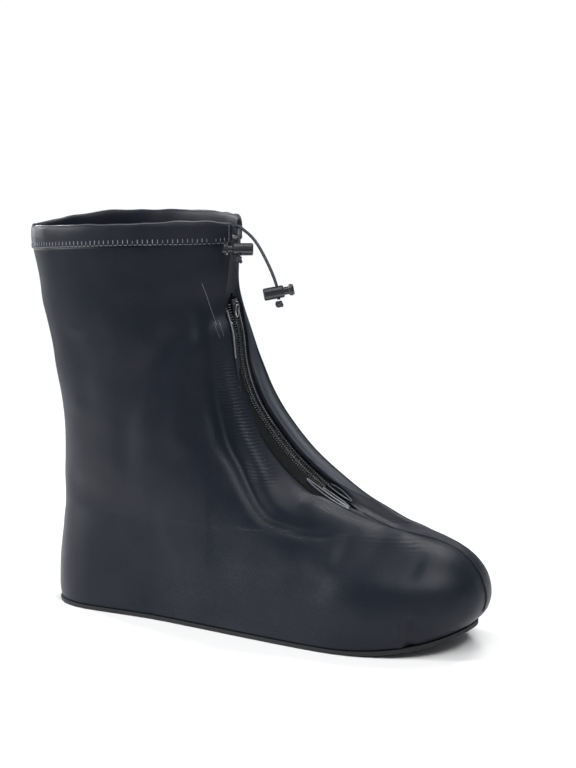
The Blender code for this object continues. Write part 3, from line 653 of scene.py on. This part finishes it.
# The knots: steps round, size of the turns, reach along the cord, the cord's own thickness in them
KNOT_STEPS = 96
KNOT_WINDING = 1.7
KNOT_TURN = 0.00062
KNOT_REACH = 0.0011
KNOT_CORD = 0.0021
ROUTE_STEPS = 5


def smooth_route(points, steps):
    parts = [[p[i] for p in points] for i in range(3)]
    count = (len(points) - 1) * steps
    return [Vector([catmull(c, i / steps) for c in parts]) for i in range(count + 1)]


def lengths_along(points):
    """How far along its run each point lies."""
    lengths = [0.0]
    for a, b in zip(points, points[1:]):
        lengths.append(lengths[-1] + (b - a).length)
    return lengths


def tube_piece(name, route, diameter, finish, sides=8):
    """A round cord swept along a route: a circle turned to each of its points, U round it, V along it."""
    frames = []
    side = Vector((0, 1, 0))
    for i, point in enumerate(route):
        way = (route[min(i + 1, len(route) - 1)] - route[max(i - 1, 0)]).normalized()
        side = (side - way * side.dot(way)).normalized()
        frames.append((point, side.copy(), way.cross(side)))

    def place(u, v):
        point, a, b = frames[min(round(v * (len(route) - 1)), len(route) - 1)]
        turn = 2 * math.pi * u
        return point + (a * math.cos(turn) + b * math.sin(turn)) * diameter / 2

    return grid_piece(name, sides, len(route) - 1, place, finish, wrap=True,
                      uv=(math.pi * diameter, lengths_along(route)[-1]))


def knot_piece(name, centre, way):
    """An overhand knot pulled tight, as a short cord wound about its own middle."""
    way = Vector(way).normalized()
    a = way.orthogonal().normalized()
    b = way.cross(a)
    points = []
    for i in range(KNOT_STEPS + 1):
        t = 2 * math.pi * i / KNOT_STEPS
        points.append(centre + a * (math.sin(t) + KNOT_WINDING * math.sin(2 * t)) * KNOT_TURN
                      + b * (math.cos(t) - KNOT_WINDING * math.cos(2 * t)) * KNOT_TURN
                      - way * math.sin(3 * t) * KNOT_REACH)
    return tube_piece(name, points, KNOT_CORD, CORD, sides=12)


def cords():
    for label, points in (("long", LONG_CORD), ("short", SHORT_CORD)):
        route = smooth_route(points, ROUTE_STEPS)
        piece = tube_piece("elastic_" + label, route, CORD_DIAMETER, CORD, sides=14)
        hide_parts("drawcord_" + label)
        low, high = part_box("knot_" + label)
        way = points[-1] - points[-2]
        knot = knot_piece("knotted_" + label, (low + high) / 2, way)
        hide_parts("knot_" + label)


cords()


# Creases, each as a line in the side view (metres from the middle of the cover's length and from the
# floor), its width, and how far it stands out (below 0 it goes in)

NEAR_CREASES = {
    "trough_main": ((
        (-0.0254, 0.219), (-0.0246, 0.2067), (-0.0209, 0.1897), (-0.0185, 0.1719), (-0.0164, 0.1536),
        (-0.0136, 0.1404), (-0.009, 0.1263), (-0.0042, 0.1165), (0.0016, 0.1087), (0.0086, 0.0975),
        (0.0158, 0.0872), (0.0208, 0.0822), (0.0252, 0.0784), (0.0304, 0.0764), (0.0371, 0.0748),
        (0.0457, 0.073), (0.0547, 0.0714), (0.0659, 0.0698), (0.0785, 0.0688),
    ), 0.0046, -0.004),
    "bulge": ((
        (-0.0183, 0.2), (-0.0173, 0.1875), (-0.0134, 0.1615), (-0.0066, 0.1406), (0.0031, 0.1203),
        (0.0148, 0.1026), (0.025, 0.093),
    ), 0.005, 0.0024),
    "ridge_shoulder": ((
        (0.039, 0.086), (0.052, 0.0815), (0.064, 0.0778), (0.0751, 0.0748), (0.0851, 0.0728),
        (0.0982, 0.0708), (0.1094, 0.069), (0.126, 0.0658),
    ), 0.0046, 0.0032),
    "hollow_side": (((0.07, 0.061), (0.09, 0.059), (0.1128, 0.0575), (0.133, 0.055)), 0.008, -0.0018),
    "shaft_diagonal": ((
        (-0.0344, 0.2003), (-0.0411, 0.1879), (-0.0485, 0.1752), (-0.0554, 0.1679), (-0.0613, 0.16),
        (-0.0679, 0.146), (-0.0716, 0.1313), (-0.0747, 0.1124), (-0.0765, 0.0852),
    ), 0.009, -0.0022),
    "shaft_bulge": ((
        (-0.026, 0.195), (-0.032, 0.1725), (-0.0363, 0.1503), (-0.0366, 0.1281), (-0.033, 0.108),
    ), 0.008, 0.0016),
    "toe_pinch": (((0.1262, 0.027), (0.1258, 0.018), (0.1252, 0.009), (0.1246, -0.008)), 0.0026, -0.003),
    "toe_pinch_lip": (((0.1216, 0.024), (0.1212, 0.016), (0.1206, 0.008), (0.12, -0.008)), 0.0022, 0.0016),
    "heel_soft": (((-0.13, 0.09), (-0.105, 0.078), (-0.075, 0.07), (-0.045, 0.066)), 0.011, -0.001),
    "side_soft": (((-0.03, 0.07), (0.005, 0.056), (0.045, 0.042), (0.08, 0.033)), 0.01, -0.001),
    "back_soft": (((-0.108, 0.19), (-0.105, 0.165), (-0.103, 0.135)), 0.011, -0.0008),
}
FAR_CREASES = {
    "trough_main": ((
        (-0.03, 0.2), (-0.022, 0.17), (-0.012, 0.14), (0.004, 0.115), (0.022, 0.094),
        (0.036, 0.082),
    ), 0.0048, -0.003),
    "trough_right": (((0.034, 0.083), (0.048, 0.076), (0.068, 0.072)), 0.0048, -0.0018),
    "ridge_shoulder": (((0.045, 0.088), (0.065, 0.081), (0.09, 0.074), (0.12, 0.067)), 0.0045, 0.0014),
    "shaft_diagonal": (((-0.045, 0.205), (-0.06, 0.175), (-0.07, 0.145), (-0.075, 0.11)), 0.01, -0.002),
    "back_soft": (((-0.115, 0.195), (-0.112, 0.165), (-0.116, 0.135)), 0.01, -0.0012),
    "heel_soft": (((-0.125, 0.095), (-0.095, 0.08), (-0.055, 0.07)), 0.011, -0.001),
}
# Bands of fine ribs beside a crease of the near side: from which point to which, and their strength
RIB_BANDS = {("bulge", 1, 7): 0.6, ("ridge_shoulder", 4, 8): 0.8}
RIB_BAND_WIDTH = 0.0050
# Steps between a crease's points, the share over which it fades at each end, and what is left there
CREASE_STEPS = 8
CREASE_FADE = 0.16
CREASE_END = 0.12


def crease_push(places, line, width, depth):
    """How far each place (x, z) is pushed along its normal by one crease, which fades at both ends."""
    xs, zs = zip(*line)
    count = (len(line) - 1) * CREASE_STEPS
    path = np.array([[catmull(c, i / CREASE_STEPS) for c in (xs, zs)] for i in range(count + 1)])
    gap = np.full(len(places), 1e9)
    at = np.zeros(len(places))
    for i, (a, b) in enumerate(zip(path, path[1:])):
        way = b - a
        t = np.clip(((places - a) @ way) / max(way @ way, 1e-12), 0, 1)
        d = np.hypot(*(places - a - t[:, None] * way).T)
        closer = d < gap
        gap[closer] = d[closer]
        at[closer] = (i + t[closer]) / count
    ends = np.clip(np.minimum(at, 1 - at) / CREASE_FADE, 0, 1)
    ends = CREASE_END + (1 - CREASE_END) * ends * ends * (3 - 2 * ends)
    return depth * ends * np.exp(-(gap / width) ** 2)


def noise_at(x, y, z):
    return noise.noise(Vector((x, y, z)))


def slow_noise(point, scale, seed):
    return noise.noise(Vector(point) * scale + Vector((seed, 2.3 * seed, -seed)))


# The shell

SIDE_STEPS = 140
ROW_STEPS = 8
NEAR_STEPS = (0.92, 0.80, 0.66, 0.50, 0.36, 0.24, 0.12, 0.0)
FAR_STEPS = tuple(i / 22 for i in range(22))
SHELL_UV = (0.60, 0.27)
# The far flap across its fold: height, middle and width of its crevice and crest, height and start of its
# roll; the sections where the flap and its crest stand, with the softness of their ends
FLAP_CREVICE = (-0.0016, 0.17, 0.09)
FLAP_CREST = (0.0030, 0.62, 0.075)
FLAP_ROLL = (0.0034, 0.24)
FLAP_ROWS = (8.3, 15.7, 0.9)
CREST_ROWS = (8.6, 13.2, 1.3)
MOUTH_PULL = 0.45
MOUTH_ROWS = (14.35, 15.6, 0.55)
# The top of the foot's front, smoothed after the creases: half width, top, start along the foot, rounds
INSTEP_HALF = 0.016
INSTEP_TOP = 0.088
INSTEP_START = 0.04
INSTEP_ROUNDS = 3
# Slow waves of the cloth: scale, seed and height
CLOTH_WAVES = ((24.0, 3.1, 0.0006), (62.0, 7.7, 0.0003))


def window(row, start, end, soft):
    return ease((row - start) / soft) * ease((end - row) / soft)


def hump(x, height_there, at, width):
    return height_there * math.exp(-((x - at) / width) ** 2)


def flap_lift(row, share):
    """The far flap's roll above its plain fold: a crevice beside the zip, a full side, a crest low down."""
    height_there, start = FLAP_ROLL
    roll = height_there * math.sin(math.pi * clamped((share - start) / (1 - start)))
    crest = hump(share, *FLAP_CREST) * window(row, *CREST_ROWS)
    return (hump(share, *FLAP_CREVICE) + roll + crest) * window(row, *FLAP_ROWS)


def mouth(row):
    """How far the zip's pointed upper opening is pulled back on the near side, as a share of its fold."""
    return MOUTH_PULL * window(row, *MOUTH_ROWS)


def shell_columns():
    """Every column of the shell from the back seam round the near side to the back seam again."""
    turns = [i / SIDE_STEPS for i in range(SIDE_STEPS - 2)] + [1.0]
    made = [("side", -1, turn) for turn in turns]
    made += [("front", -1, share) for share in NEAR_STEPS]
    made += [("front", 1, share) for share in FAR_STEPS]
    made += [("side", 1, turn) for turn in turns[::-1]]
    return made


def shell_piece():
    cols = shell_columns()
    nu, nv = len(cols) - 1, LAST_SECTION * ROW_STEPS
    near_edge = cols.index(("front", -1, 0.0))
    bm = bmesh.new()
    bmesh.ops.create_grid(bm, x_segments=nu, y_segments=nv, size=0.5)
    sheet = bm.loops.layers.uv.new("UVMap")
    index = {vert: (round((vert.co.x + 0.5) * nu), round((vert.co.y + 0.5) * nv)) for vert in bm.verts}
    for face in bm.faces:
        for loop in face.loops:
            i, j = index[loop.vert]
            loop[sheet].uv = (i / nu * SHELL_UV[0], j / nv * SHELL_UV[1])
    in_slot = [f for f in bm.faces if min(index[v][0] for v in f.verts) == near_edge
               and SLOT_START - 0.01 <= min(index[v][1] for v in f.verts) / ROW_STEPS
               and max(index[v][1] for v in f.verts) / ROW_STEPS <= SLOT_END + 0.01]
    for vert, (i, j) in index.items():
        kind, side, share = cols[i]
        row = j / ROW_STEPS
        if kind == "side":
            vert.co = side_point(row, side, share)
        else:
            lift = flap_lift(row, share) if side > 0 else 0.0
            if side < 0:
                share = share + (1 - share) * mouth(row)
            vert.co = front_point(row, front_place(row, side, share), lift)
    bmesh.ops.delete(bm, geom=in_slot, context="FACES")
    bmesh.ops.remove_doubles(bm, verts=bm.verts, dist=1e-6)
    bmesh.ops.recalc_face_normals(bm, faces=bm.faces)
    press_creases(bm)
    instep = [v for v in bm.verts
              if abs(v.co.y) < INSTEP_HALF and v.co.z < INSTEP_TOP and v.co.x > INSTEP_START]
    for _ in range(INSTEP_ROUNDS):
        bmesh.ops.smooth_vert(bm, verts=instep, factor=0.5, use_axis_x=True, use_axis_y=True, use_axis_z=True)
    piece = finished("cover_shell", bm, CLOTH, wall=WALL, angle=0)
    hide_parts("upper")
    return piece


def press_creases(bm):
    """Push the creases and the cloth's slow waves into the shell, less at the sole, the top and the front."""
    bm.normal_update()
    bm.verts.ensure_lookup_table()
    spots = np.array([(v.co.x, v.co.z) for v in bm.verts])
    sides = np.array([v.co.y for v in bm.verts])
    push = np.zeros(len(spots))
    for side, creases in ((-1, NEAR_CREASES), (1, FAR_CREASES)):
        on_side = np.clip((sides * side - 0.004) / 0.006, 0, 1)
        for line, width, depth in creases.values():
            push += on_side * crease_push(spots, line, width, depth)
    ribs = bm.verts.layers.float.new("ribs")
    for (line, start, end), strength in RIB_BANDS.items():
        band = crease_push(spots, NEAR_CREASES[line][0][start:end], RIB_BAND_WIDTH, 1.0)
        band = band * np.clip((0.012 - sides) / 0.01, 0, 1)
        for vert, amount in zip(bm.verts, band):
            vert[ribs] = max(vert[ribs], float(amount) * strength)
    for vert, amount in zip(bm.verts, push):
        foot_fade = clamped((vert.co.z - 0.004) / 0.02)
        top_fade = clamped((0.243 - vert.co.z) / 0.02)
        front_fade = clamped((abs(vert.co.y) - 0.012) / 0.012)
        calm = foot_fade * top_fade * (0.15 + 0.85 * front_fade)
        soft = sum(slow_noise(vert.co, scale, seed) * high for scale, seed, high in CLOTH_WAVES)
        vert.co += vert.normal * (amount * (0.3 + 0.7 * foot_fade) * top_fade + soft * calm)


shell = shell_piece()


# Lines welded on the near side: the placket's edge, laid on the creased shell; their lighter finish is a
# painted highlight

WELDS = (
    ((-0.0269, -0.0242, 0.221), (-0.0258, -0.0223, 0.2164), (-0.025, -0.0206, 0.2125),
     (-0.024, -0.0191, 0.2079), (-0.0228, -0.018, 0.2034), (-0.0213, -0.0175, 0.1989),
     (-0.0199, -0.0175, 0.1939)),
    ((-0.0212, -0.0184, 0.1958), (-0.0193, -0.0181, 0.1901), (-0.0175, -0.0174, 0.1857)),
    ((-0.019, -0.016, 0.1975), (-0.0172, -0.0158, 0.1915), (-0.0158, -0.0156, 0.187)),
)


def weld_lines():
    mesh = shell.data
    tree = BVHTree.FromPolygons([v.co for v in mesh.vertices], [tuple(f.vertices) for f in mesh.polygons])
    for k, line in enumerate(WELDS):
        route = []
        for point in smooth_route([Vector(p) for p in line], 5):
            spot, normal, _, _ = tree.find_nearest(point)
            route.append(spot + normal * 0.0001)
        tube_piece("placket_weld_painted_highlight_%d" % (k + 1), route, 0.0006 if k == 0 else 0.0004, RIM_PAINTED_HIGHLIGHT_FILM)


weld_lines()


# The collar's hem: a folded band with a soft round top, on the shell's upper edge

HEM_STEPS = 200
# Where the hem ends beside the front, as turns round the near and the far side
HEM_ENDS = (0.999, 0.972)
# The hem's section as (out, up); two heights stand for the casing's own top and the bend just under it
TOP = -2.0
UNDER_TOP = -1.0
TOP_BEND = 0.0014
HEM_SHAPE = (
    (0.0008, -0.0016), (0.0015, -0.0008), (0.0013, 0.0012), (0.0017, 0.0045), (0.0018, 0.0075),
    (0.0016, UNDER_TOP), (0.0007, TOP), (-0.0007, TOP), (-0.0016, UNDER_TOP),
    (-0.0018, 0.007), (-0.0016, 0.004), (-0.0012, 0.001), (-0.001, -0.001), (0.0008, -0.0016),
)
HEM_LIFT = 0.0006
RIM_STEPS = 260
RIM_INSET = 0.005
# Threads: (across, along, thick) of an upright stitch, of the one that lies between two, and of a tack
STITCH_PITCH = 0.0031
STITCH = (0.0007, 0.0036, 0.0006)
LYING_STITCH = (0.0030, 0.0005, 0.0005)
LYING_SHARE = 0.48
TACK = (0.0007, 0.0013, 0.0006)
TACK_PITCH = 0.0014
TACK_COUNT = 7
TACK_AT = 6


def hem_path():
    """Places on the shell's top edge from the near end round the back to the far end, with their ways out."""
    half = HEM_STEPS // 2
    points = [side_point(LAST_SECTION, -1, HEM_ENDS[0] * (1 - i / half)) for i in range(half)]
    points += [side_point(LAST_SECTION, 1, HEM_ENDS[1] * i / half) for i in range(half + 1)]
    ways = []
    for i in range(len(points)):
        way = points[min(i + 1, len(points) - 1)] - points[max(i - 1, 0)]
        ways.append(Vector((way.y, -way.x, 0)).normalized())
    if ways[0].x < 0:
        ways = [-w for w in ways]
    return points, ways, lengths_along(points)


HEM_POINTS, HEM_WAYS, HEM_LENGTHS = hem_path()


def hem_at(v):
    i = min(round(v * HEM_STEPS), HEM_STEPS)
    return HEM_POINTS[i], HEM_WAYS[i], HEM_LENGTHS[i] / HEM_LENGTHS[-1]


def hem_spot(share):
    """Where a share of the hem's length lies: its place on the shell's edge and its way out."""
    at = share * HEM_LENGTHS[-1]
    i = min(max(int(np.searchsorted(HEM_LENGTHS, at)), 1), HEM_STEPS)
    t = (at - HEM_LENGTHS[i - 1]) / (HEM_LENGTHS[i] - HEM_LENGTHS[i - 1])
    return HEM_POINTS[i - 1].lerp(HEM_POINTS[i], t), HEM_WAYS[i]


def hem_wave(share):
    return noise_at(share * 26.0, 11.0, 1.0) * 0.0009


def hem_lean(share):
    return noise_at(share * 16.0, 2.0, 9.0) * 0.0006


def hem_rim_painted_highlight():
    """A thin tube along the hem's top, lighter than the cloth: a painted highlight on the folded edge."""
    route = []
    for k in range(RIM_STEPS + 1):
        share = RIM_INSET + (1 - 2 * RIM_INSET) * k / RIM_STEPS
        point, way = hem_spot(share)
        rise = 0.0005 + between(CASING, share) + hem_wave(share)
        route.append(point + way * (hem_lean(share) - WALL / 2 + 0.0006) + Vector((0, 0, rise)))
    tube_piece("hem_rim_painted_highlight", route, 0.0009, RIM_PAINTED_HIGHLIGHT_FILM)


def hem_piece():
    rows = len(HEM_SHAPE) - 1

    def place(u, v):
        point, way, share = hem_at(v)
        out, up = HEM_SHAPE[round(u * rows)]
        tall = between(CASING, share)
        if up == UNDER_TOP:
            up = tall - TOP_BEND
        elif up == TOP:
            up = tall
        ripple = noise_at(share * 38.0, up * 60.0, 4.0) * 0.0005
        lean = hem_lean(share) * max(up, 0) / tall
        wave = hem_wave(share) * max(up, 0) / tall
        outward = out + (ripple if out > 0 else 0.3 * ripple) + lean
        return point - way * WALL / 2 + way * outward + Vector((0, 0, HEM_LIFT + up + wave))

    piece = grid_piece("collar_hem", rows, HEM_STEPS, place, HEM_CLOTH, wrap=True,
                       uv=(0.04, HEM_LENGTHS[-1]))
    piece.data.set_sharp_from_angle(angle=math.radians(75))
    made = piece.modifiers.new("round", "SUBSURF")
    made.levels = 1
    made.render_levels = 1
    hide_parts("hem_casing")


hem_piece()
hem_rim_painted_highlight()


def set_down(bm, made, centre, axes, size):
    """Give a made form its size, turn it to its axes and put it in its place."""
    bmesh.ops.scale(bm, vec=size, verts=made["verts"])
    turn = Matrix(axes).transposed().to_4x4()
    bmesh.ops.transform(bm, matrix=Matrix.Translation(centre) @ turn, verts=made["verts"])


def bead(bm, centre, way, up, out, size):
    """A short rounded bead of thread: size is (across, along, thick)."""
    set_down(bm, bmesh.ops.create_icosphere(bm, subdivisions=1, radius=0.5), centre, (way, up, out), size)


def hem_stitches():
    bm = bmesh.new()
    count = int(HEM_LENGTHS[-1] / STITCH_PITCH)
    up = Vector((0, 0, 1))
    for k in range(1, count):
        share = k / count
        point, way = hem_spot(share)
        side = way.cross(up)
        wobble = noise_at(k * 0.7, 5.0, 1.0)
        tilt = (up + side * 0.12 * wobble).normalized()
        centre = point + way * 0.0008 + up * (0.0010 + 0.0004 * wobble)
        bead(bm, centre, side, tilt, way, STITCH)
        if k < count * LYING_SHARE:
            centre = point + way * 0.0008 + up * -0.0010 + side * STITCH_PITCH / 2
            bead(bm, centre, side, tilt, way, LYING_STITCH)
    way = HEM_WAYS[TACK_AT]
    near_tack = HEM_POINTS[TACK_AT] + way * 0.0015
    for k in range(TACK_COUNT):
        bead(bm, near_tack + up * (0.0012 + TACK_PITCH * k), way.cross(up), up, way, TACK)
    finished("hem_stitches", bm, THREAD, angle=0)


hem_stitches()


# The zip: woven tape, coil teeth, facings and folded ends

STRIP_WIDTH = 0.012
STRIP_STRETCH = 1.15
TAPE_REACH = 0.0075
TAPE_START = SLOT_START - 0.35
TAPE_END = SLOT_END + 0.45
TEETH_ROWS = (9.3, 15.05)
TOOTH_PITCH = 0.00080
TOOTH_SIZE = (0.0040, 0.00066, 0.0017)
TOOTH_BEVEL = 0.00014
DOT_SIZE = (0.0011, 0.0008, 0.0010)
EDGE_SHARE = 0.06
EDGE_DIAMETER = 0.0009
# Painted highlights on the near fold, as thin bright tubes: name, share across the fold, first and last
# section
HIGHLIGHT_STREAKS = (("highlight_streak_near_outer", 0.96, 13.3, 14.85), ("highlight_streak_near_inner", 0.74, 13.0, 14.3))
# Folded film at the zip's lower end: name, section and half its length, place across and half its width
FOLD_LOOPS = (
    ("loop_near_outer", 9.10, 0.52, -0.0062, 0.0011),
    ("loop_near_inner", 8.95, 0.34, -0.0040, 0.0009),
    ("pocket_far", 9.05, 0.34, 0.0046, 0.0017),
)
LOOP_STEPS = 40


def ribbon(name, start, end, across, lift, finish, steps, columns_across, wall, ripple=0.0):
    """A strip on the front between two sections; across(row, u) is its place, lift(row, u) its height."""
    length = (front_point(start, 0) - front_point(end, 0)).length

    def place(u, v):
        row = start + (end - start) * v
        wave = noise_at(u * 3.0, v * 40.0, len(name)) * ripple
        return front_point(row, across(row, u), lift(row, u) + wave)

    return grid_piece(name, columns_across, steps, place, finish, wall=wall,
                      uv=(STRIP_WIDTH, length * STRIP_STRETCH))


def zip_tape():
    def across(row, u):
        reach = min(TAPE_REACH, front_place(row, 1, FAR_FOLD[1][0]))
        rounding = rounded(1 - (row - TAPE_START) / 0.5, 2.0) if row < SLOT_START + 0.15 else 1.0
        return (u * 2 - 1) * reach * max(rounding, 0.15)

    def lift(row, u):
        return zip_lift(row, across(row, u)) - WALL - 0.0003

    piece = ribbon("tape", TAPE_START, TAPE_END, across, lift, TAPE, 150, 10, 0.0006)
    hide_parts("zip_tape", "zip_end_tab")


def zip_turn(row):
    """How far the zip leans towards the near side, in radians."""
    return math.radians(30) * window(row, 8.2, 16.0, 1.2)


def zip_lift(row, y):
    return y * math.tan(zip_turn(row))


def chain_places(start, end, pitch):
    """Sections at an even pitch along the front's middle line."""
    rows = np.linspace(start, end, 600)
    lengths = lengths_along([middle(r)[0] for r in rows])
    return [float(np.interp(s, lengths, rows)) for s in np.arange(0, lengths[-1], pitch)]


def zip_teeth():
    bm = bmesh.new()
    threads = bmesh.new()
    for k, row in enumerate(chain_places(*TEETH_ROWS, TOOTH_PITCH)):
        side = 1 if k % 2 else -1
        point, outward, up = middle(row)
        lean = zip_turn(row)
        across = Vector((0, 1, 0)) * math.cos(lean) + outward * math.sin(lean)
        outward = outward * math.cos(lean) - Vector((0, 1, 0)) * math.sin(lean)
        rise = 0.0010 * window(row, 9.2, 14.9, 0.7) - WALL
        centre = point + outward * (rise + 0.0014) + across * side * 0.0010
        set_down(bm, bmesh.ops.create_cube(bm, size=1), centre, (across, up, outward), TOOTH_SIZE)
        if k % 2 == 0:
            for edge in (-1, 1):
                bead(threads, point + outward * (rise + 0.0017) + across * edge * 0.0033,
                     across, up, outward, DOT_SIZE)
    bmesh.ops.bevel(bm, geom=bm.edges, offset=TOOTH_BEVEL, affect="EDGES", segments=1, profile=0.5,
                    material=-1)
    piece = finished("coil_teeth", bm, COIL, angle=0)
    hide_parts("zip_chain")
    finished("coil_threads", threads, THREAD, angle=0)


def near_facing():
    def across(row, u):
        outer = front_place(row, -1, 0.86)
        inner = front_place(row, -1, mouth(row)) - 0.0002
        inner = outer + (inner - outer) * (0.1 + 0.9 * ease((14.75 - row) / 0.9))
        return outer + (inner - outer) * u

    piece = ribbon("facing_near_tape", SLOT_START + 0.3, 14.75, across, lambda row, u: 0.0007, TAPE, 130,
                   6, 0.0007)
    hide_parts("facing_near")

    def fold(row, u):
        return front_place(row, -1, 0.98 - 0.40 * u * ease((15.0 - row) / 0.5) * ease((row - 12.2) / 1.4))

    def rise(row, u):
        return 0.0014 + 0.0020 * math.sin(math.pi * u) ** 1.5 * window(row, 12.4, 14.95, 0.8)

    # Thin bright tubes along the fold: painted highlights
    for name, share, low, high in HIGHLIGHT_STREAKS:
        route = []
        for row in np.linspace(low, high, 40):
            wave = noise_at(row * 2.1, share * 9.0, 3.0) * 0.0006
            route.append(front_point(row, front_place(row, -1, share), 0.0022 + wave))
        tube_piece(name, route, EDGE_DIAMETER, PAINTED_HIGHLIGHT_FILM)
    ribbon("fold_near", 12.3, 14.95, fold, rise, GLOSS, 60, 8, 0.0005, ripple=0.0007)


def far_facing():
    def across(row, u):
        inner = front_place(row, 1, 0.0) + 0.0003
        outer = front_place(row, 1, 0.24)
        return inner + (outer - inner) * u

    def lift(row, u):
        return 0.0009 + flap_lift(row, 0.24 * u) + hump(u, 0.0007, 0.55, 0.18)

    piece = ribbon("facing_far_film", SLOT_START + 0.25, 14.55, across, lift, FILM, 140, 10,
                   0.0005, ripple=0.0003)
    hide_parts("facing_far")


def flap_strip():
    """The far flap's strip, rolled over from the crevice to its outer edge, in cloth painted several times
    lighter: a painted sheen where the flap catches the light.
    """
    def across(row, u):
        inner = 0.27 + 0.64 * (1 - window(row, 8.3, 15.6, 1.8))
        return front_place(row, 1, inner + (0.94 - inner) * u)

    def lift(row, u):
        return 0.0003 + flap_lift(row, fold_share(row, across(row, u)))

    ribbon("flap_strip", 8.4, 15.45, across, lift, FLAP_PAINTED_SHEEN, 150, 16, 0.0004)


def facing_edge_painted_highlight():
    """A thin bright tube along the far facing's edge, close beside the teeth: a painted highlight."""
    route = [front_point(row, front_place(row, 1, EDGE_SHARE), 0.0022 + flap_lift(row, EDGE_SHARE))
             for row in np.linspace(11.0, 15.0, 70)]
    tube_piece("facing_edge_painted_highlight", route, EDGE_DIAMETER, PAINTED_HIGHLIGHT_FILM)


def end_folds():
    """The film round the zip's lower end: two slim loops on the near side, a small pocket on the far, each a
    thin tube whose lighter finish is a painted highlight on the fold.
    """
    for name, row_at, row_half, y_at, y_half in FOLD_LOOPS:
        side = 1 if y_at > 0 else -1

        def route_point(turn):
            row = row_at + row_half * math.cos(turn)
            y = y_at + y_half * math.sin(turn)
            lift = flap_lift(row, fold_share(row, y)) if side > 0 else 0.0
            return front_point(row, y, lift + 0.0012)

        route = [route_point(2 * math.pi * i / LOOP_STEPS) for i in range(LOOP_STEPS + 1)]
        tube_piece(name, route, 0.0010, RIM_PAINTED_HIGHLIGHT_FILM)


def toe_weld():
    def across(row, u):
        return (u * 2 - 1) * 0.0012

    def lift(row, u):
        return 0.0002 + 0.0004 * (1 - (2 * u - 1) ** 2) ** 0.5

    piece = ribbon("toe_weld", 1.2, 8.3, across, lift, HEM_CLOTH, 120, 8, 0.0003)
    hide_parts("toe_seam")


zip_tape()
zip_teeth()
near_facing()
far_facing()
flap_strip()
facing_edge_painted_highlight()
end_folds()
toe_weld()


# Solids that keep their shape and take a finish

def dress(node, finish):
    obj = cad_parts[node]
    if not obj.material_slots:
        obj.data.materials.append(finish)
    for place in obj.material_slots:
        place.link = "OBJECT"
        place.material = finish


for solid, its_finish in (("sole", SHEET), ("zip_slider", METAL), ("zip_pull", PULL_METAL_PAINTED_HIGHLIGHT)):
    dress(solid, its_finish)
for lock in ("lock_long_", "lock_short_"):
    dress(lock + "barrel", PLASTIC)
    dress(lock + "plunger", PLASTIC)


# Floor and light: the floor starts to fade and has gone at these distances from the middle
FLOOR_FADE = 0.35
FLOOR_END = 0.95
# Strength of the white surround: as light, and as the camera sees it
SKY = (0.26, 1.05)
SUN = 0.9
SUN_SPREAD = 30
SUN_WAY = (-0.20, 0.30, -1.0)
# Lamps: name, place, aim, size and power
LAMPS = (
    ("key", (-1.8, -1.0, 0.9), (-0.07, 0, 0.14), (0.35, 0.9), 40),
    ("back", (0.1, 1.3, 2.0), (0.05, 0, 0.08), (0.8, 0.8), 24),
    ("flap_light", (1.0, -0.75, 1.4), (0.0, 0, 0.17), (0.35, 0.6), 14),
    ("rim_left", (-1.7, 0.6, 0.7), (0, 0, 0.12), (0.3, 1.4), 18),
)


def lamp(name, kind, power, way):
    data = bpy.data.lights.new(name, kind)
    data.energy = power
    made = bpy.data.objects.new(name, data)
    GROUP.objects.link(made)
    made.rotation_euler = Vector(way).to_track_quat("-Z", "Y").to_euler()
    return made


def stage():
    floor_finish, tree, shader = new_finish("floor_pale", 0.7, Specular_IOR_Level=0.2)
    shade = noise_node(tree, object_place(tree), 3.0)
    tree.links.new(ramp(tree, shade, (0.90, 0.90, 0.90), (0.91, 0.91, 0.91)), shader.inputs["Base Color"])
    # The floor fades into the white behind it, a step away from the cover
    reach = tree.nodes.new("ShaderNodeVectorMath")
    reach.operation = "LENGTH"
    tree.links.new(object_place(tree), reach.inputs[0])
    left_over = math_node(tree, "SUBTRACT", FLOOR_END, reach.outputs["Value"])
    near_share = math_node(tree, "MULTIPLY", left_over, 1 / (FLOOR_END - FLOOR_FADE), clamp=True)
    tree.links.new(near_share, shader.inputs["Alpha"])
    bm = bmesh.new()
    bmesh.ops.create_grid(bm, x_segments=1, y_segments=1, size=9)
    mesh = bpy.data.meshes.new("floor")
    bm.to_mesh(mesh)
    bm.free()
    floor = bpy.data.objects.new("floor", mesh)
    GROUP.objects.link(floor)
    mesh.materials.append(floor_finish)
    world_light = bpy.data.worlds.new("studio")
    bpy.context.scene.world = world_light
    world_light.use_nodes = True
    sky = world_light.node_tree
    back = sky.nodes["Background"]
    back.inputs["Color"].default_value = (0.96, 0.98, 1.02, 1)
    seen = sky.nodes.new("ShaderNodeLightPath")
    strength = spread_value(sky, seen.outputs["Is Camera Ray"], *SKY)
    sky.links.new(strength, back.inputs["Strength"])
    bpy.context.scene.view_settings.view_transform = "Standard"
    lamp("sun_soft", "SUN", SUN, SUN_WAY).data.angle = math.radians(SUN_SPREAD)
    for name, place, aim, size, power in LAMPS:
        made = lamp(name, "AREA", power, Vector(aim) - Vector(place))
        made.location = place
        made.data.shape = "RECTANGLE"
        made.data.size, made.data.size_y = size


stage()
